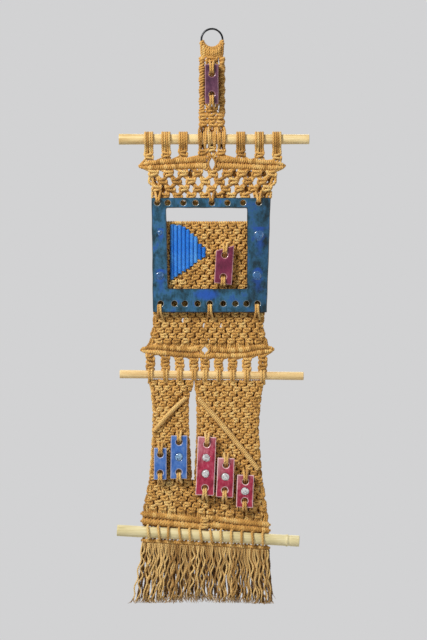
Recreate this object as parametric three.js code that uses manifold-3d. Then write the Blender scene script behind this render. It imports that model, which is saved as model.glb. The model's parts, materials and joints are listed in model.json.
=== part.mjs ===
// Knotted cord wall hanging with bamboo dowels, a glazed ceramic frame and seven ceramic plaques.
// Millimetres, +Z up, front towards -Y. The origin is the inside top of the ring, where a nail carries it.
import * as THREE from "three";
import { mergeVertices } from "three/addons/utils/BufferGeometryUtils.js";
import Module from "manifold-3d";

const wasm = await Module();
wasm.setup();

// ---------------------------------------------------------------- driving dimensions
const CORD = 2.6; // diameter of the jute cord
const FABRIC = 7.2; // thickness of knotted cordwork, front to back
const GAP = 0.3; // between pieces that touch
const LOOSE = 0.4; // radial room between a dowel and the cords round it
const SWING = 1.8; // between two sections, on each side of the line that they fold about

const RING_RADIUS = 12.6; // to the middle of the wire
const RING_WIRE = 1.7; // wire radius
const RING_GRIP = 205; // degrees of the ring that the cords cover
const RING_ROOM = 0.6; // between the ring's wire and the cords on it

const NECK_WIDTH = 34;
const NECK_SENNIT = 4.1; // radius of each side sennit
const NECK_LENGTH = 71; // from the ring's fold line to the knot panel
const NECK_PANEL = 17; // height of the knot panel
const NECK_PANEL_WIDTH = 31;
const NECK_POST = 6; // bare cord between the knot panel and the dowel
const NECK_TAPER = 6; // the sections narrow over this length towards a fold line

const TOP_DOWEL = { radius: 6.8, length: 229, shift: 2.5, tilt: 0 };
const MIDDLE_DOWEL = { radius: 5.4, length: 221, shift: -0.4, tilt: -0.6 };
const BOTTOM_DOWEL = { radius: 7.2, length: 219, shift: -4.6, tilt: -3.4 };
const BAMBOO_NODE = { from_end: 14.5, rise: 0.35, width: 2.4 };

const HITCH_WIDTH = 10.6; // four cords side by side
const TURN_WIDTH = 3.7; // one of the two turns, side by side, of a cord group that goes on past a dowel
const NECK_HITCHES = [-11.4, 0, 11.4]; // where the neck's cords cross the top dowel
const SIDE_HITCHES = [-76, -55.4, -34.6, 34.6, 57, 78]; // the other cord groups on the top dowel

// A band is two rows of hitches. Its lines are [share of the half width, height about the band's place], and
// its eye is [x, height, half width, half height] of the hole that the rows part round.
const UPPER_BAND = {
  half: 88, drop: 5, eye: [0, -10.8, 3.4, 8.4],
  top: [
    [-1, -11.5], [-0.85, -6.5], [-0.45, -3.6], [-0.18, 0.3], [0, 3.4], [0.18, 0.3], [0.45, -3.6], [0.85, -6.5],
    [1, -11],
  ],
  middle: [[-1, -14], [-0.85, -12.6], [-0.45, -11], [0, -10.6], [0.45, -11], [0.85, -12.6], [1, -13.6]],
  bottom: [
    [-1, -16.6], [-0.85, -19.4], [-0.45, -18.4], [-0.15, -18.8], [0, -22.4], [0.15, -18.8], [0.45, -18.4],
    [0.85, -20], [1, -16.4],
  ],
};
const LOWER_BAND = {
  half: 79.5, shift: -5.6, eye: [-3, 0, 3.5, 4.6],
  top: [[-1, 2.6], [-0.8, 9.6], [-0.6, 8.4], [-0.3, 5.2], [0, 9.4], [0.3, 5], [0.55, 5], [0.8, 10], [1, 2.8]],
  middle: [
    [-1, 0], [-0.8, 3.2], [-0.6, 1.6], [-0.3, -1.2], [0, -0.2], [0.3, -1.6], [0.55, -1.4], [0.8, 3], [1, 0],
  ],
  bottom: [
    [-1, -2.6], [-0.8, -4.2], [-0.6, -5.4], [-0.3, -7.8], [0, -9], [0.3, -8.2], [0.55, -7.8], [0.8, -4.6],
    [1, -2.6],
  ],
};
const UPPER_NET = { height: 27, top_half: 78 };
const NET_OVER_FRAME = 9; // the upper net reaches this far above the frame's edge at the band's ends
const LOWER_NET = { height: 38, half: 74, shift: -4.6 };

const FRAME = { top: 143, bottom: 136.7, height: 137.5, thick: 7, shift: -1, lean: -2.6, tilt: -0.5 };
const FRAME_STAND = 0.8; // the frame stands this far in front of the cordwork
const RAILS = { top: 12.4, bottom: 28.6, left: 18.6, right: 28 };
const HOLE = 3.4; // radius of the holes in the frame's rails
const TOP_HOLES = [-0.93, -0.75, -0.48, -0.27, 0.01, 0.28, 0.55, 0.82]; // shares of the half width
const BOTTOM_HOLES = [-0.89, -0.64, -0.45, -0.22, 0, 0.24, 0.46, 0.66, 0.86];
const BOTTOM_HOLE_INSET = 10.5; // from the frame's lower edge
const FRAME_TIES_TOP = [0, 4, 7]; // the holes that a tie goes through
const FRAME_TIES_BOTTOM = [0, 4, 8];

const WINDOW_GAP = 15; // open space above the inner panel
const BACK_SENNIT = 11; // width of the sennits behind the side rails
const TRIANGLE = { height: 68, width: 43, tip: 8, head: 12, top: 4, left: 3 };

const MIDDLE_DROP = 13.2; // from the lower band's underside to the hitches on the middle dowel
const MIDDLE_HITCHES = [-74, -56, -39, -21.6, -8.4, 8, 24.6, 41.6, 61];

const SLIT = { left: -26.2, right: -19.4, seam: -21.3, top: 19, waist: 27, spread: 4 };
// The fabric below the middle dowel, wider at its head than at its waist.
const LOWER = { left: -74, right: 60, waist: 3.2, length: 129, head: 3.6 };
const LEFT_DIAGONAL = [[-31, 27], [-70, 67.5]]; // x, and the drop below the middle dowel
const RIGHT_DIAGONAL = [[-16.5, 28], [55.5, 113.5]];
const RIDGE = 6.4; // width of a diagonal ridge
const BOTTOM_NET = { left: -84, right: 68 };
const BOTTOM_DOWEL_DROP = 193.3; // from the middle dowel to the bottom one
const ROW = 6.2; // height of a row of hitches
const BOTTOM_HITCHES = 12;
const BOTTOM_HITCH_WIDTH = 3.4;
const UNDER_ROW = 5.4;
const FRINGE = { length: 60, thick: 8, root: 0.8, spread: 5 };

const PLAQUE = 5; // thickness of a plaque
const PLAQUE_HOLE = 3.6;
const STRAP = { width: 4.4, thick: 2.2, room: 1, reach: 5.5 }; // the cord pair that a plaque hangs on
const GLASS = { radius: 4.6, rise: 1.1, sink: 0.8 };
// A plaque's x, its drop below a fold line or dowel (or rise above the window's foot), its size, its lean in
// degrees, its holes' distance from its ends, and the places of its glass drops along it. The slant is how much
// its right corners are higher than its left ones, at the foot and at the top.
const NECK_PLAQUE = { x: -0.3, drop: 35.7, width: 16.4, height: 47.6, lean: 0, inset: 11.6, drops: [] };
const INNER_PLAQUE = {
  x: 14.4, rise: 27, width: 21.6, height: 43.4, lean: 3.6, inset: 8.6, drops: [], slant: [-1.2, 7.6],
};
const LOWER_PLAQUES = [
  {
    name: "blue_plaque_short", x: -62, drop: 106, width: 15.4, height: 38.4,
    lean: 0.5, inset: 8.2, drops: [],
  },
  {
    name: "blue_plaque_tall", x: -39.6, drop: 98, width: 20, height: 52.2,
    lean: 0.5, inset: 8.2, drops: [0],
  },
  {
    name: "red_plaque_tall", x: -7.3, drop: 108.8, width: 22.4, height: 70.2,
    lean: 2.5, inset: 9, drops: [10, -9],
  },
  {
    name: "red_plaque_medium", x: 16, drop: 122.6, width: 20.6, height: 47.2,
    lean: 2.5, inset: 8.6, drops: [1],
  },
  {
    name: "red_plaque_short", x: 39.6, drop: 138.8, width: 20.4, height: 39.4,
    lean: 2, inset: 8.2, drops: [0],
  },
];

// ---------------------------------------------------------------- places that follow from them
const front = -FABRIC / 2;
const ringCentre = -(RING_RADIUS - RING_WIRE);
const gripRadius = RING_WIRE + RING_ROOM + CORD;
const ringFold = ringCentre - RING_RADIUS - gripRadius - SWING; // the neck folds about this line
const neckPanelTop = ringFold - NECK_LENGTH;
const neckPanelFoot = neckPanelTop - NECK_PANEL;
const topDowelZ = neckPanelFoot - NECK_POST - TOP_DOWEL.radius;
const around = (dowel) => dowel.radius + LOOSE + CORD; // outside of the cords round a dowel
const upperBandZ = topDowelZ - around(TOP_DOWEL) - UPPER_BAND.drop - UPPER_BAND.top[4][1];
const frameTop = upperBandZ + UPPER_BAND.bottom[0][1] - UPPER_NET.height - NET_OVER_FRAME;
const frameFoot = frameTop - FRAME.height;
const frameBack = front - FRAME_STAND;
const frameFront = frameBack - FRAME.thick;
const windowTop = frameTop - RAILS.top;
const windowFoot = frameFoot + RAILS.bottom;
const innerTop = windowTop - WINDOW_GAP;
const innerFoot = frameFoot + RAILS.bottom / 2;
const lowerBandZ = innerFoot - GAP - LOWER_NET.height - (RAILS.bottom / 2) - LOWER_BAND.top[4][1];
const middleDowelZ = lowerBandZ + LOWER_BAND.bottom[4][1] - MIDDLE_DROP - MIDDLE_DOWEL.radius;
const bottomDowelZ = middleDowelZ - BOTTOM_DOWEL_DROP;
const strapDepth = STRAP.room + STRAP.thick + LOOSE;
const plaqueY = front - strapDepth - PLAQUE / 2; // middle of a plaque's thickness
const neckPlaqueZ = ringFold - NECK_PLAQUE.drop;

// ---------------------------------------------------------------- solids
function solid(geometry) {
  const plain = new THREE.BufferGeometry();
  const source = geometry.index ? geometry.toNonIndexed() : geometry;
  plain.setAttribute("position", source.getAttribute("position"));
  const merged = mergeVertices(plain, 1e-4);
  return new wasm.Manifold(new wasm.Mesh({
    numProp: 3,
    vertProperties: new Float32Array(merged.attributes.position.array),
    triVerts: new Uint32Array(merged.index.array),
  }));
}

function geometryOf(body) {
  const mesh = body.getMesh();
  const made = new THREE.BufferGeometry();
  made.setAttribute("position", new THREE.BufferAttribute(new Float32Array(mesh.vertProperties), 3));
  made.setIndex(new THREE.BufferAttribute(new Uint32Array(mesh.triVerts), 1));
  made.computeVertexNormals();
  return made;
}

const join = (bodies) => bodies.reduce((sum, body) => sum.add(body));

// A flat outline in X and Z, from y0 in front to y1 behind.
function slab(outline, y0 = front, y1 = -front) {
  const shape = new THREE.Shape(outline.map(([x, z]) => new THREE.Vector2(x, z)));
  const made = new THREE.ExtrudeGeometry(shape, { depth: y1 - y0, bevelEnabled: false });
  return solid(made.rotateX(Math.PI / 2).translate(0, y1, 0));
}

const block = (x0, x1, y0, y1, z0, z1) => slab([[x0, z0], [x1, z0], [x1, z1], [x0, z1]], y0, y1);

// An outline in Y and Z that runs from x0 to x1.
function prism(outline, x0, x1) {
  const shape = new THREE.Shape(outline.map(([y, z]) => new THREE.Vector2(-z, y)));
  const made = new THREE.ExtrudeGeometry(shape, { depth: x1 - x0, bevelEnabled: false });
  return solid(made.rotateY(Math.PI / 2).translate(x0, 0, 0));
}

// A round bar along Y, such as a hole's cutter.
function rod(x, z, radius, y0, y1, sides = 14) {
  const made = new THREE.CylinderGeometry(radius, radius, y1 - y0, sides);
  return solid(made.translate(x, (y0 + y1) / 2, 0).translate(0, 0, z));
}

// A smooth line through points, as [x, z] pairs.
function smooth(points, steps) {
  const curve = new THREE.SplineCurve(points.map(([x, z]) => new THREE.Vector2(x, z)));
  return curve.getPoints(steps).map((p) => [p.x, p.y]);
}

// The height of a smooth line at x.
function heightAt(line, x) {
  const i = Math.max(1, line.findIndex(([px]) => px >= x));
  const [[x0, z0], [x1, z1]] = [line[i - 1], line[i]];
  return z0 + ((z1 - z0) * (x - x0)) / (x1 - x0);
}

// The turn of a dowel about its own middle.
function turned(body, tilt, x, z) {
  return body.translate([-x, 0, -z]).rotate([0, -tilt, 0]).translate([x, 0, z]);
}

// ---------------------------------------------------------------- materials
const paint = (color, roughness, metalness = 0) =>
  new THREE.MeshStandardMaterial({ color, roughness, metalness });
const JUTE = paint(0xb98945, 0.95);
const BLUE_CORD = paint(0x276fc6, 0.55);
const BAMBOO = paint(0xdfc48b, 0.6);
const STEEL = paint(0x3c3d3f, 0.35, 0.9);
const TEAL_GLAZE = paint(0x2f637f, 0.25);
const PLUM_GLAZE = paint(0x5e3a4c, 0.25);
const WINE_GLAZE = paint(0x6f2440, 0.25);
const SKY_GLAZE = paint(0x5b7dba, 0.25);
const ROSE_GLAZE = paint(0xb34a5c, 0.25);
const CLEAR_GLASS = paint(0xd9dfe0, 0.1);

const hanging = new THREE.Group();

function piece(name, body, material) {
  const mesh = new THREE.Mesh(geometryOf(body), material);
  mesh.name = name;
  hanging.add(mesh);
  return mesh;
}

// ---------------------------------------------------------------- ring and neck
function ring() {
  const torus = new THREE.TorusGeometry(RING_RADIUS, RING_WIRE, 10, 36);
  return solid(torus.rotateX(Math.PI / 2)).translate([0, 0, ringCentre]);
}

function ringHitches() {
  class Grip extends THREE.Curve {
    getPoint(t) {
      const angle = THREE.MathUtils.degToRad(-90 + (t - 0.5) * RING_GRIP);
      const z = ringCentre + RING_RADIUS * Math.sin(angle);
      return new THREE.Vector3(RING_RADIUS * Math.cos(angle), 0, z);
    }
  }
  const section = new THREE.Shape().absarc(0, 0, gripRadius, 0, 2 * Math.PI);
  section.holes.push(new THREE.Path().absarc(0, 0, RING_WIRE + RING_ROOM, 0, 2 * Math.PI, true));
  const options = { steps: 16, curveSegments: 4, bevelEnabled: false, extrudePath: new Grip() };
  return solid(new THREE.ExtrudeGeometry(section, options));
}

// A section that hangs from a fold line: it starts thin and reaches its full thickness below.
function hungSlab(x0, x1, top, foot) {
  const thin = CORD / 2;
  const full = top - NECK_TAPER;
  const side = [[-thin, top], [thin, top], [-front, full], [-front, foot], [front, foot], [front, full]];
  return prism(side, x0, x1);
}

function neckSennit(side) {
  const x = side * (NECK_WIDTH / 2 - NECK_SENNIT);
  const top = ringFold - SWING;
  const foot = neckPanelTop + GAP;
  const full = top - NECK_TAPER;
  const profile = [[0, foot], [NECK_SENNIT, foot], [NECK_SENNIT, full], [CORD / 2, top], [0, top]];
  const lathe = new THREE.LatheGeometry(profile.map(([r, z]) => new THREE.Vector2(r, z)), 12);
  return solid(lathe.rotateX(Math.PI / 2)).translate([x, 0, 0]);
}

function neckTopKnot() {
  const half = NECK_WIDTH / 2 - 2 * (NECK_SENNIT + GAP);
  return hungSlab(-half, half, ringFold - SWING, neckPlaqueZ + NECK_PLAQUE.height / 2 + LOOSE);
}

// Cords once round a dowel.
function loop(dowel, x, width, z) {
  const shape = new THREE.Shape().absarc(0, 0, around(dowel), 0, 2 * Math.PI);
  shape.holes.push(new THREE.Path().absarc(0, 0, dowel.radius + LOOSE, 0, 2 * Math.PI, true));
  const made = new THREE.ExtrudeGeometry(shape, { depth: width, curveSegments: 8, bevelEnabled: false });
  return solid(made.rotateY(Math.PI / 2).translate(x - width / 2, 0, z));
}

// Cords once round a dowel, and the post that carries them on to the cordwork at height z.
function hitch(dowel, x, width, axis, z) {
  const half = width / 2;
  const rim = axis + Math.sign(z - axis) * (around(dowel) - CORD / 2);
  const post = block(x - half, x + half, -CORD, CORD, Math.min(rim, z), Math.max(rim, z));
  return post.add(loop(dowel, x, width, axis));
}

// A cord group past a dowel is two turns side by side: one belongs to what is above, the other to what is
// below.
const turnAbove = (x) => x + (TURN_WIDTH + LOOSE) / 2;
const turnBelow = (x) => x - (TURN_WIDTH + LOOSE) / 2;

function neckPanel() {
  const half = NECK_PANEL_WIDTH / 2;
  const turn = (x) => hitch(TOP_DOWEL, turnAbove(x), TURN_WIDTH, topDowelZ, neckPanelFoot + 1);
  const hitches = NECK_HITCHES.map(turn);
  return join([block(-half, half, front, -front, neckPanelFoot, neckPanelTop), ...hitches]);
}

// ---------------------------------------------------------------- dowels
function dowel(d, z) {
  const bar = new THREE.CylinderGeometry(d.radius, d.radius, d.length, 24).rotateZ(Math.PI / 2);
  return solid(bar).translate([d.shift, 0, z]);
}

const straightDowel = (d, z) => turned(dowel(d, z), d.tilt, d.shift, z);

function bottomDowel() {
  const d = BOTTOM_DOWEL;
  const radius = d.radius + BAMBOO_NODE.rise;
  const ridge = new THREE.CylinderGeometry(radius, radius, BAMBOO_NODE.width, 24);
  const x = d.shift + d.length / 2 - BAMBOO_NODE.from_end;
  const bar = dowel(d, bottomDowelZ).add(solid(ridge.rotateZ(Math.PI / 2)).translate([x, 0, bottomDowelZ]));
  return turned(bar, d.tilt, d.shift, bottomDowelZ);
}

// ---------------------------------------------------------------- bands of hitches
function bandLines(band, z) {
  const place = (points) => points.map(([u, dz]) => [(band.shift ?? 0) + u * band.half, z + dz]);
  return {
    top: smooth(place(band.top), 28),
    middle: smooth(place(band.middle), 20),
    bottom: smooth(place(band.bottom), 28),
  };
}

function bandEye(band, z) {
  const [x, dz, wide, tall] = band.eye;
  const bar = new THREE.CylinderGeometry(1, 1, 2 * FABRIC, 16).scale(wide, 1, tall);
  return solid(bar).translate([x + (band.shift ?? 0), 0, z + dz]);
}

const lowered = (line, by) => line.map(([x, z]) => [x, z - by]);
const back = (line) => [...line].reverse();

function upperRow(band, z) {
  const lines = bandLines(band, z);
  return slab([...lowered(lines.middle, -GAP / 2), ...back(lines.top)]).subtract(bandEye(band, z));
}

function lowerRow(band, z) {
  const lines = bandLines(band, z);
  return slab([...lines.bottom, ...back(lowered(lines.middle, GAP / 2))]).subtract(bandEye(band, z));
}

// The lowest height that a post may reach above a line, over its own width.
function above(line, x, width) {
  return GAP + Math.max(...[-0.5, 0, 0.5].map((share) => heightAt(line, x + share * width)));
}

const upperLines = bandLines(UPPER_BAND, upperBandZ);
const lowerLines = bandLines(LOWER_BAND, lowerBandZ);

const topHitch = (x, width) => hitch(TOP_DOWEL, x, width, topDowelZ, above(upperLines.top, x, width));

// ---------------------------------------------------------------- ceramic frame
function frameHoles() {
  const halfTop = FRAME.top / 2;
  const halfFoot = FRAME.bottom / 2;
  const top = TOP_HOLES.map((u) => [FRAME.shift + u * (halfTop - 2), frameTop - RAILS.top / 2]);
  const foot = BOTTOM_HOLES.map((u) => [FRAME.lean + u * (halfFoot - 2), frameFoot + BOTTOM_HOLE_INSET]);
  return { top, foot };
}

// Where the frame's outer edges are at a height.
function frameEdges(z) {
  const share = (frameTop - z) / FRAME.height;
  const centre = FRAME.shift + (FRAME.lean - FRAME.shift) * share;
  const half = (FRAME.top + (FRAME.bottom - FRAME.top) * share) / 2;
  return [centre - half, centre + half];
}

function ceramicFrame() {
  const [topLeft, topRight] = frameEdges(frameTop);
  const [footLeft, footRight] = frameEdges(frameFoot);
  const outer = [[footLeft, frameFoot], [footRight, frameFoot], [topRight, frameTop], [topLeft, frameTop]];
  const [left, right] = [frameEdges(windowTop), frameEdges(windowFoot)];
  const opening = [
    [right[0] + RAILS.left, windowFoot], [right[1] - RAILS.right + 3, windowFoot],
    [left[1] - RAILS.right, windowTop], [left[0] + RAILS.left - 1, windowTop],
  ];
  let body = slab(outer, frameFront, frameBack).subtract(slab(opening, frameFront - 1, frameBack + 1));
  const holes = frameHoles();
  for (const [x, z] of [...holes.top, ...holes.foot]) {
    body = body.subtract(rod(x, z, HOLE, frameFront - 1, frameBack + 1, 12));
  }
  return body;
}

// A tie: out of the cordwork past the frame's edge, over the rail and in through a hole to the cordwork
// behind.
function frameTie([x, z], edge, away) {
  const half = STRAP.width / 2;
  const outside = frameFront - LOOSE;
  const past = edge + away * LOOSE;
  const over = past + away * STRAP.thick;
  const sorted = (a, b) => [Math.min(a, b), Math.max(a, b)];
  const edgeHalf = STRAP.thick / 2;
  const face = outside - STRAP.thick;
  const overRail = block(x - half, x + half, face, outside, ...sorted(z - away * edgeHalf, over));
  const pastEdge = block(x - half, x + half, face, 0, ...sorted(past, over));
  const through = block(x - half, x + half, face, 0, z - edgeHalf, z + edgeHalf);
  return join([overRail, pastEdge, through]);
}

// ---------------------------------------------------------------- cordwork round the frame
function upperNet() {
  const [left, right] = frameEdges(frameTop);
  const foot = windowTop + GAP;
  const top = lowered(upperLines.bottom, GAP).filter(([x]) => Math.abs(x) < UPPER_NET.top_half);
  const net = slab([
    [left + 2, foot], [right - 2, foot], [right - 1, frameTop], ...back(top), [left + 1, frameTop],
  ]);
  const ties = FRAME_TIES_TOP.map((i) => frameTie(frameHoles().top[i], frameTop, 1));
  return join([net, ...ties]);
}

const innerSides = () => {
  const [left, right] = frameEdges(innerFoot);
  return [left + 2 + BACK_SENNIT, right - 3 - BACK_SENNIT];
};

function triangleOutline(room) {
  const left = frameEdges(innerTop)[0] + RAILS.left + TRIANGLE.left - room;
  const top = innerTop - TRIANGLE.top + room;
  const foot = innerTop - TRIANGLE.top - TRIANGLE.height - room;
  const middle = (top + foot) / 2;
  const tip = left + TRIANGLE.width + 2 * room;
  const tipHalf = TRIANGLE.tip / 2;
  return [[left, foot], [tip, middle - tipHalf], [tip, middle + tipHalf], [left + TRIANGLE.head, top], [left, top]];
}

function innerPanel() {
  const [left, right] = innerSides();
  const panel = slab([[left, innerFoot], [right, innerFoot], [right, innerTop], [left, innerTop]]);
  return panel.subtract(slab(triangleOutline(GAP), front - 1, 1 - front));
}

const blueTriangle = () => slab(triangleOutline(0), front - 0.6, -front);

function backSennit(side) {
  const [left, right] = innerSides();
  const x0 = side < 0 ? left - GAP - BACK_SENNIT : right + GAP;
  return block(x0, x0 + BACK_SENNIT, front, -front, innerFoot, windowTop);
}

function lowerNet() {
  const [left, right] = frameEdges(frameFoot);
  const shift = LOWER_NET.shift;
  const foot = lowered(lowerLines.top, -GAP).filter(([x]) => Math.abs(x - shift) < LOWER_NET.half);
  const top = innerFoot - GAP;
  const net = slab([
    ...foot, [right - 3, frameFoot], [right - 4, top], [left + 2, top], [left + 1, frameFoot],
  ]);
  const ties = FRAME_TIES_BOTTOM.map((i) => frameTie(frameHoles().foot[i], frameFoot, -1));
  return join([net, ...ties]);
}

// A turn of cord round the middle dowel, and its post to the cordwork at height z.
function middleHitch(x, z) {
  const d = MIDDLE_DOWEL;
  return turned(hitch(d, x, TURN_WIDTH, middleDowelZ, z), d.tilt, d.shift, middleDowelZ);
}

// The lower row with the nine cord groups that run down from it and round the middle dowel.
function lowerRowWithHitches() {
  const intoRow = (x) => heightAt(lowerLines.bottom, x) + CORD;
  const hitches = MIDDLE_HITCHES.map(turnAbove).map((x) => middleHitch(x, intoRow(x)));
  return join([lowerRow(LOWER_BAND, lowerBandZ), ...hitches]);
}

// ---------------------------------------------------------------- fabric below the middle dowel
const down = ([x, drop]) => [x, middleDowelZ - drop];

// Both sides of a diagonal ridge, moved apart by its half width and a gap.
function ridgeSides([a, b], by) {
  const length = Math.hypot(b[0] - a[0], b[1] - a[1]);
  const normal = [-(b[1] - a[1]) / length, (b[0] - a[0]) / length];
  const move = (p, s) => [p[0] + s * by * normal[0], p[1] + s * by * normal[1]];
  return [[move(a, 1), move(b, 1)], [move(a, -1), move(b, -1)]];
}

const fabricTop = around(MIDDLE_DOWEL) + SWING;
const ridgeHalf = RIDGE / 2;

function diagonal(line) {
  const [one, two] = ridgeSides(line, ridgeHalf);
  return slab([...one, ...back(two)].map(down), front - 0.8, -front - 1);
}

// Keeps only what is above the ridge line (side 1) or below it (side -1), for a ridge from a to b.
function cutByRidge(body, line, side) {
  const far = 400;
  const [a, b] = line;
  const length = Math.hypot(b[0] - a[0], b[1] - a[1]);
  const along = [(b[0] - a[0]) / length, (b[1] - a[1]) / length];
  const edge = ridgeHalf + GAP;
  const across = [along[1], -along[0]];
  const sign = across[1] * side > 0 ? -1 : 1;
  const at = (p, s, n, axis) => p[axis] + s * along[axis] + n * sign * across[axis];
  const point = (p, s, n) => [at(p, s, n, 0), at(p, s, n, 1)];
  const keep = [point(a, -far, edge), point(b, far, edge), point(b, far, far), point(a, -far, far)];
  return body.intersect(slab(keep.map(down), front - 2, 2 - front));
}

function withTurns(fabric, groups) {
  const turns = groups.map((x) => middleHitch(turnBelow(x), middleDowelZ - fabricTop - CORD));
  return join([fabric, ...turns]);
}

function leftFabric() {
  const { left, waist, length, head } = LOWER;
  const seam = SLIT.seam - GAP / 2;
  return slab([
    [left - head, fabricTop], [seam, fabricTop], [seam, SLIT.top], [SLIT.left, SLIT.top],
    [SLIT.left - 1, SLIT.waist], [SLIT.left - SLIT.spread / 2, SLIT.waist + 24], [SLIT.left, SLIT.waist + 52],
    [SLIT.left + 2, length],
    [left - 2, length], [left - 1, length - 25], [left + waist, length * 0.5], [left, fabricTop + 14],
  ].map(down));
}

function rightFabric() {
  const { right, waist, length, head } = LOWER;
  const seam = SLIT.seam + GAP / 2;
  return slab([
    [seam, fabricTop], [right + head, fabricTop], [right - 1, length * 0.12], [right - waist, length * 0.45],
    [right - waist + 0.5, length * 0.75], [right, length], [SLIT.right, length],
    [SLIT.right + 0.6, SLIT.waist + 45], [SLIT.right + 1.8, SLIT.waist + 12], [SLIT.right, SLIT.top],
    [seam, SLIT.top],
  ].map(down));
}

// The height of a line parallel to the bottom dowel, a distance above its axis.
const alongBottom = (x, rise) => {
  const slope = Math.tan(THREE.MathUtils.degToRad(BOTTOM_DOWEL.tilt));
  return bottomDowelZ + (x - BOTTOM_DOWEL.shift) * slope + rise;
};
const rowFoot = around(BOTTOM_DOWEL) + GAP;

function strip(foot, height) {
  const { left, right } = BOTTOM_NET;
  return slab([
    [left, alongBottom(left, foot)], [right, alongBottom(right, foot)],
    [right, alongBottom(right, foot + height)], [left, alongBottom(left, foot + height)],
  ]);
}

function bottomNet() {
  const { left, right } = BOTTOM_NET;
  const foot = rowFoot + 2 * (ROW + GAP);
  const top = middleDowelZ - LOWER.length - GAP;
  return slab([
    [left, alongBottom(left, foot)], [right, alongBottom(right, foot)],
    [LOWER.right, top], [LOWER.left - 2, top],
  ]);
}

// Cords down the front and back of the bottom dowel, and the row of hitches under it that traps it.
function bottomHitches() {
  const d = BOTTOM_DOWEL;
  const { left, right } = BOTTOM_NET;
  const width = BOTTOM_HITCH_WIDTH;
  const pitch = (right - left - width) / (BOTTOM_HITCHES - 1);
  const places = Array.from({ length: BOTTOM_HITCHES }, (_, i) => left + width / 2 + i * pitch);
  const loops = places.map((x) => loop(d, x, width, bottomDowelZ));
  const underDowel = bottomDowelZ - d.radius - LOOSE;
  const rail = block(left, right, front, -front, underDowel - UNDER_ROW, underDowel);
  return turned(join([rail, ...loops]), d.tilt, d.shift, bottomDowelZ);
}

function fringe() {
  const { length, thick, root, spread } = FRINGE;
  const d = BOTTOM_DOWEL;
  const fold = bottomDowelZ - d.radius - LOOSE - UNDER_ROW - SWING;
  const top = fold - SWING;
  const half = thick / 2;
  const side = [
    [-root, top], [root, top], [half, top - thick], [half, top - length], [-half, top - length],
    [-half, top - thick],
  ];
  const wide = prism(side, BOTTOM_NET.left - spread, BOTTOM_NET.right + 2 * spread);
  const ends = slab([
    [BOTTOM_NET.left + 1, fold], [BOTTOM_NET.right - 1, fold],
    [BOTTOM_NET.right + 2 * spread, top - length], [BOTTOM_NET.left - spread, top - length],
  ], -thick, thick);
  return turned(wide.intersect(ends), d.tilt, d.shift, bottomDowelZ);
}

// ---------------------------------------------------------------- plaques
// Everything of a plaque is made about its own middle, and then leaned and moved into place.
function placed(body, plaque, z) {
  return body.rotate([0, plaque.lean, 0]).translate([plaque.x, plaqueY, z]);
}

function plaqueBody(plaque) {
  const [w, h] = [plaque.width / 2, plaque.height / 2];
  const [foot, top] = plaque.slant ?? [0, 0];
  const outline = [[-w, -h - foot / 2], [w, -h + foot / 2], [w, h + top / 2], [-w, h - top / 2]];
  let body = slab(outline, -PLAQUE / 2, PLAQUE / 2);
  for (const z of [h - plaque.inset, plaque.inset - h]) {
    body = body.subtract(rod(0, z, PLAQUE_HOLE, -PLAQUE, PLAQUE, 16));
  }
  for (const z of plaque.drops) {
    body = body.subtract(rod(0, z, GLASS.radius + GAP, -PLAQUE, -PLAQUE / 2 + GLASS.sink + GAP, 16));
  }
  return body;
}

// The pair of cords: out of the fabric, over the plaque's end, through its hole, behind it, and the same at
// the foot.
function plaqueStrap(plaque, topReach, footReach) {
  const [half, edge] = [STRAP.width / 2, STRAP.thick / 2];
  const [face, rear] = [-PLAQUE / 2 - STRAP.room, PLAQUE / 2 + STRAP.room];
  const [outside, inside] = [face - STRAP.thick, rear + STRAP.thick];
  const hole = plaque.height / 2 - plaque.inset;
  const fabric = front - GAP - plaqueY;
  const parts = [block(-half, half, rear, inside, -hole - edge, hole + edge)];
  for (const [sign, reach] of [[1, topReach], [-1, footReach]]) {
    const end = sign * (plaque.height / 2 + reach);
    const bridge = [Math.min(sign * hole, end) - edge, Math.max(sign * hole, end) + edge];
    parts.push(block(-half, half, outside, face, ...bridge));
    parts.push(block(-half, half, outside, inside, sign * hole - edge, sign * hole + edge));
    parts.push(block(-half, half, outside, fabric, end - edge, end + edge));
  }
  return join(parts);
}

function glassDrop(z) {
  const { radius, rise, sink } = GLASS;
  const profile = [[0, -sink], [radius, -sink], [radius, 0], [radius * 0.7, rise * 0.75], [0, rise]];
  const lathe = new THREE.LatheGeometry(profile.map(([r, h]) => new THREE.Vector2(r, h)), 16);
  return solid(lathe.rotateX(Math.PI)).translate([0, -PLAQUE / 2, z]);
}

function addPlaque(name, plaque, z, glaze, reach = [STRAP.reach, STRAP.reach]) {
  piece(name, placed(plaqueBody(plaque), plaque, z), glaze);
  piece(name + "_cords", placed(plaqueStrap(plaque, ...reach), plaque, z), JUTE);
  plaque.drops.forEach((at, i) => {
    const suffix = plaque.drops.length > 1 ? "_" + (i + 1) : "";
    piece(name + "_glass" + suffix, placed(glassDrop(at), plaque, z), CLEAR_GLASS);
  });
}

// ---------------------------------------------------------------- the assembly
piece("hanging_ring", ring(), STEEL);
piece("ring_hitches", ringHitches(), JUTE);
piece("neck_top_knot", neckTopKnot(), JUTE);
piece("neck_left_sennit", neckSennit(-1), JUTE);
piece("neck_right_sennit", neckSennit(1), JUTE);
piece("neck_knot_panel", neckPanel(), JUTE);
addPlaque("neck_plaque", NECK_PLAQUE, neckPlaqueZ, PLUM_GLAZE);

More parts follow.
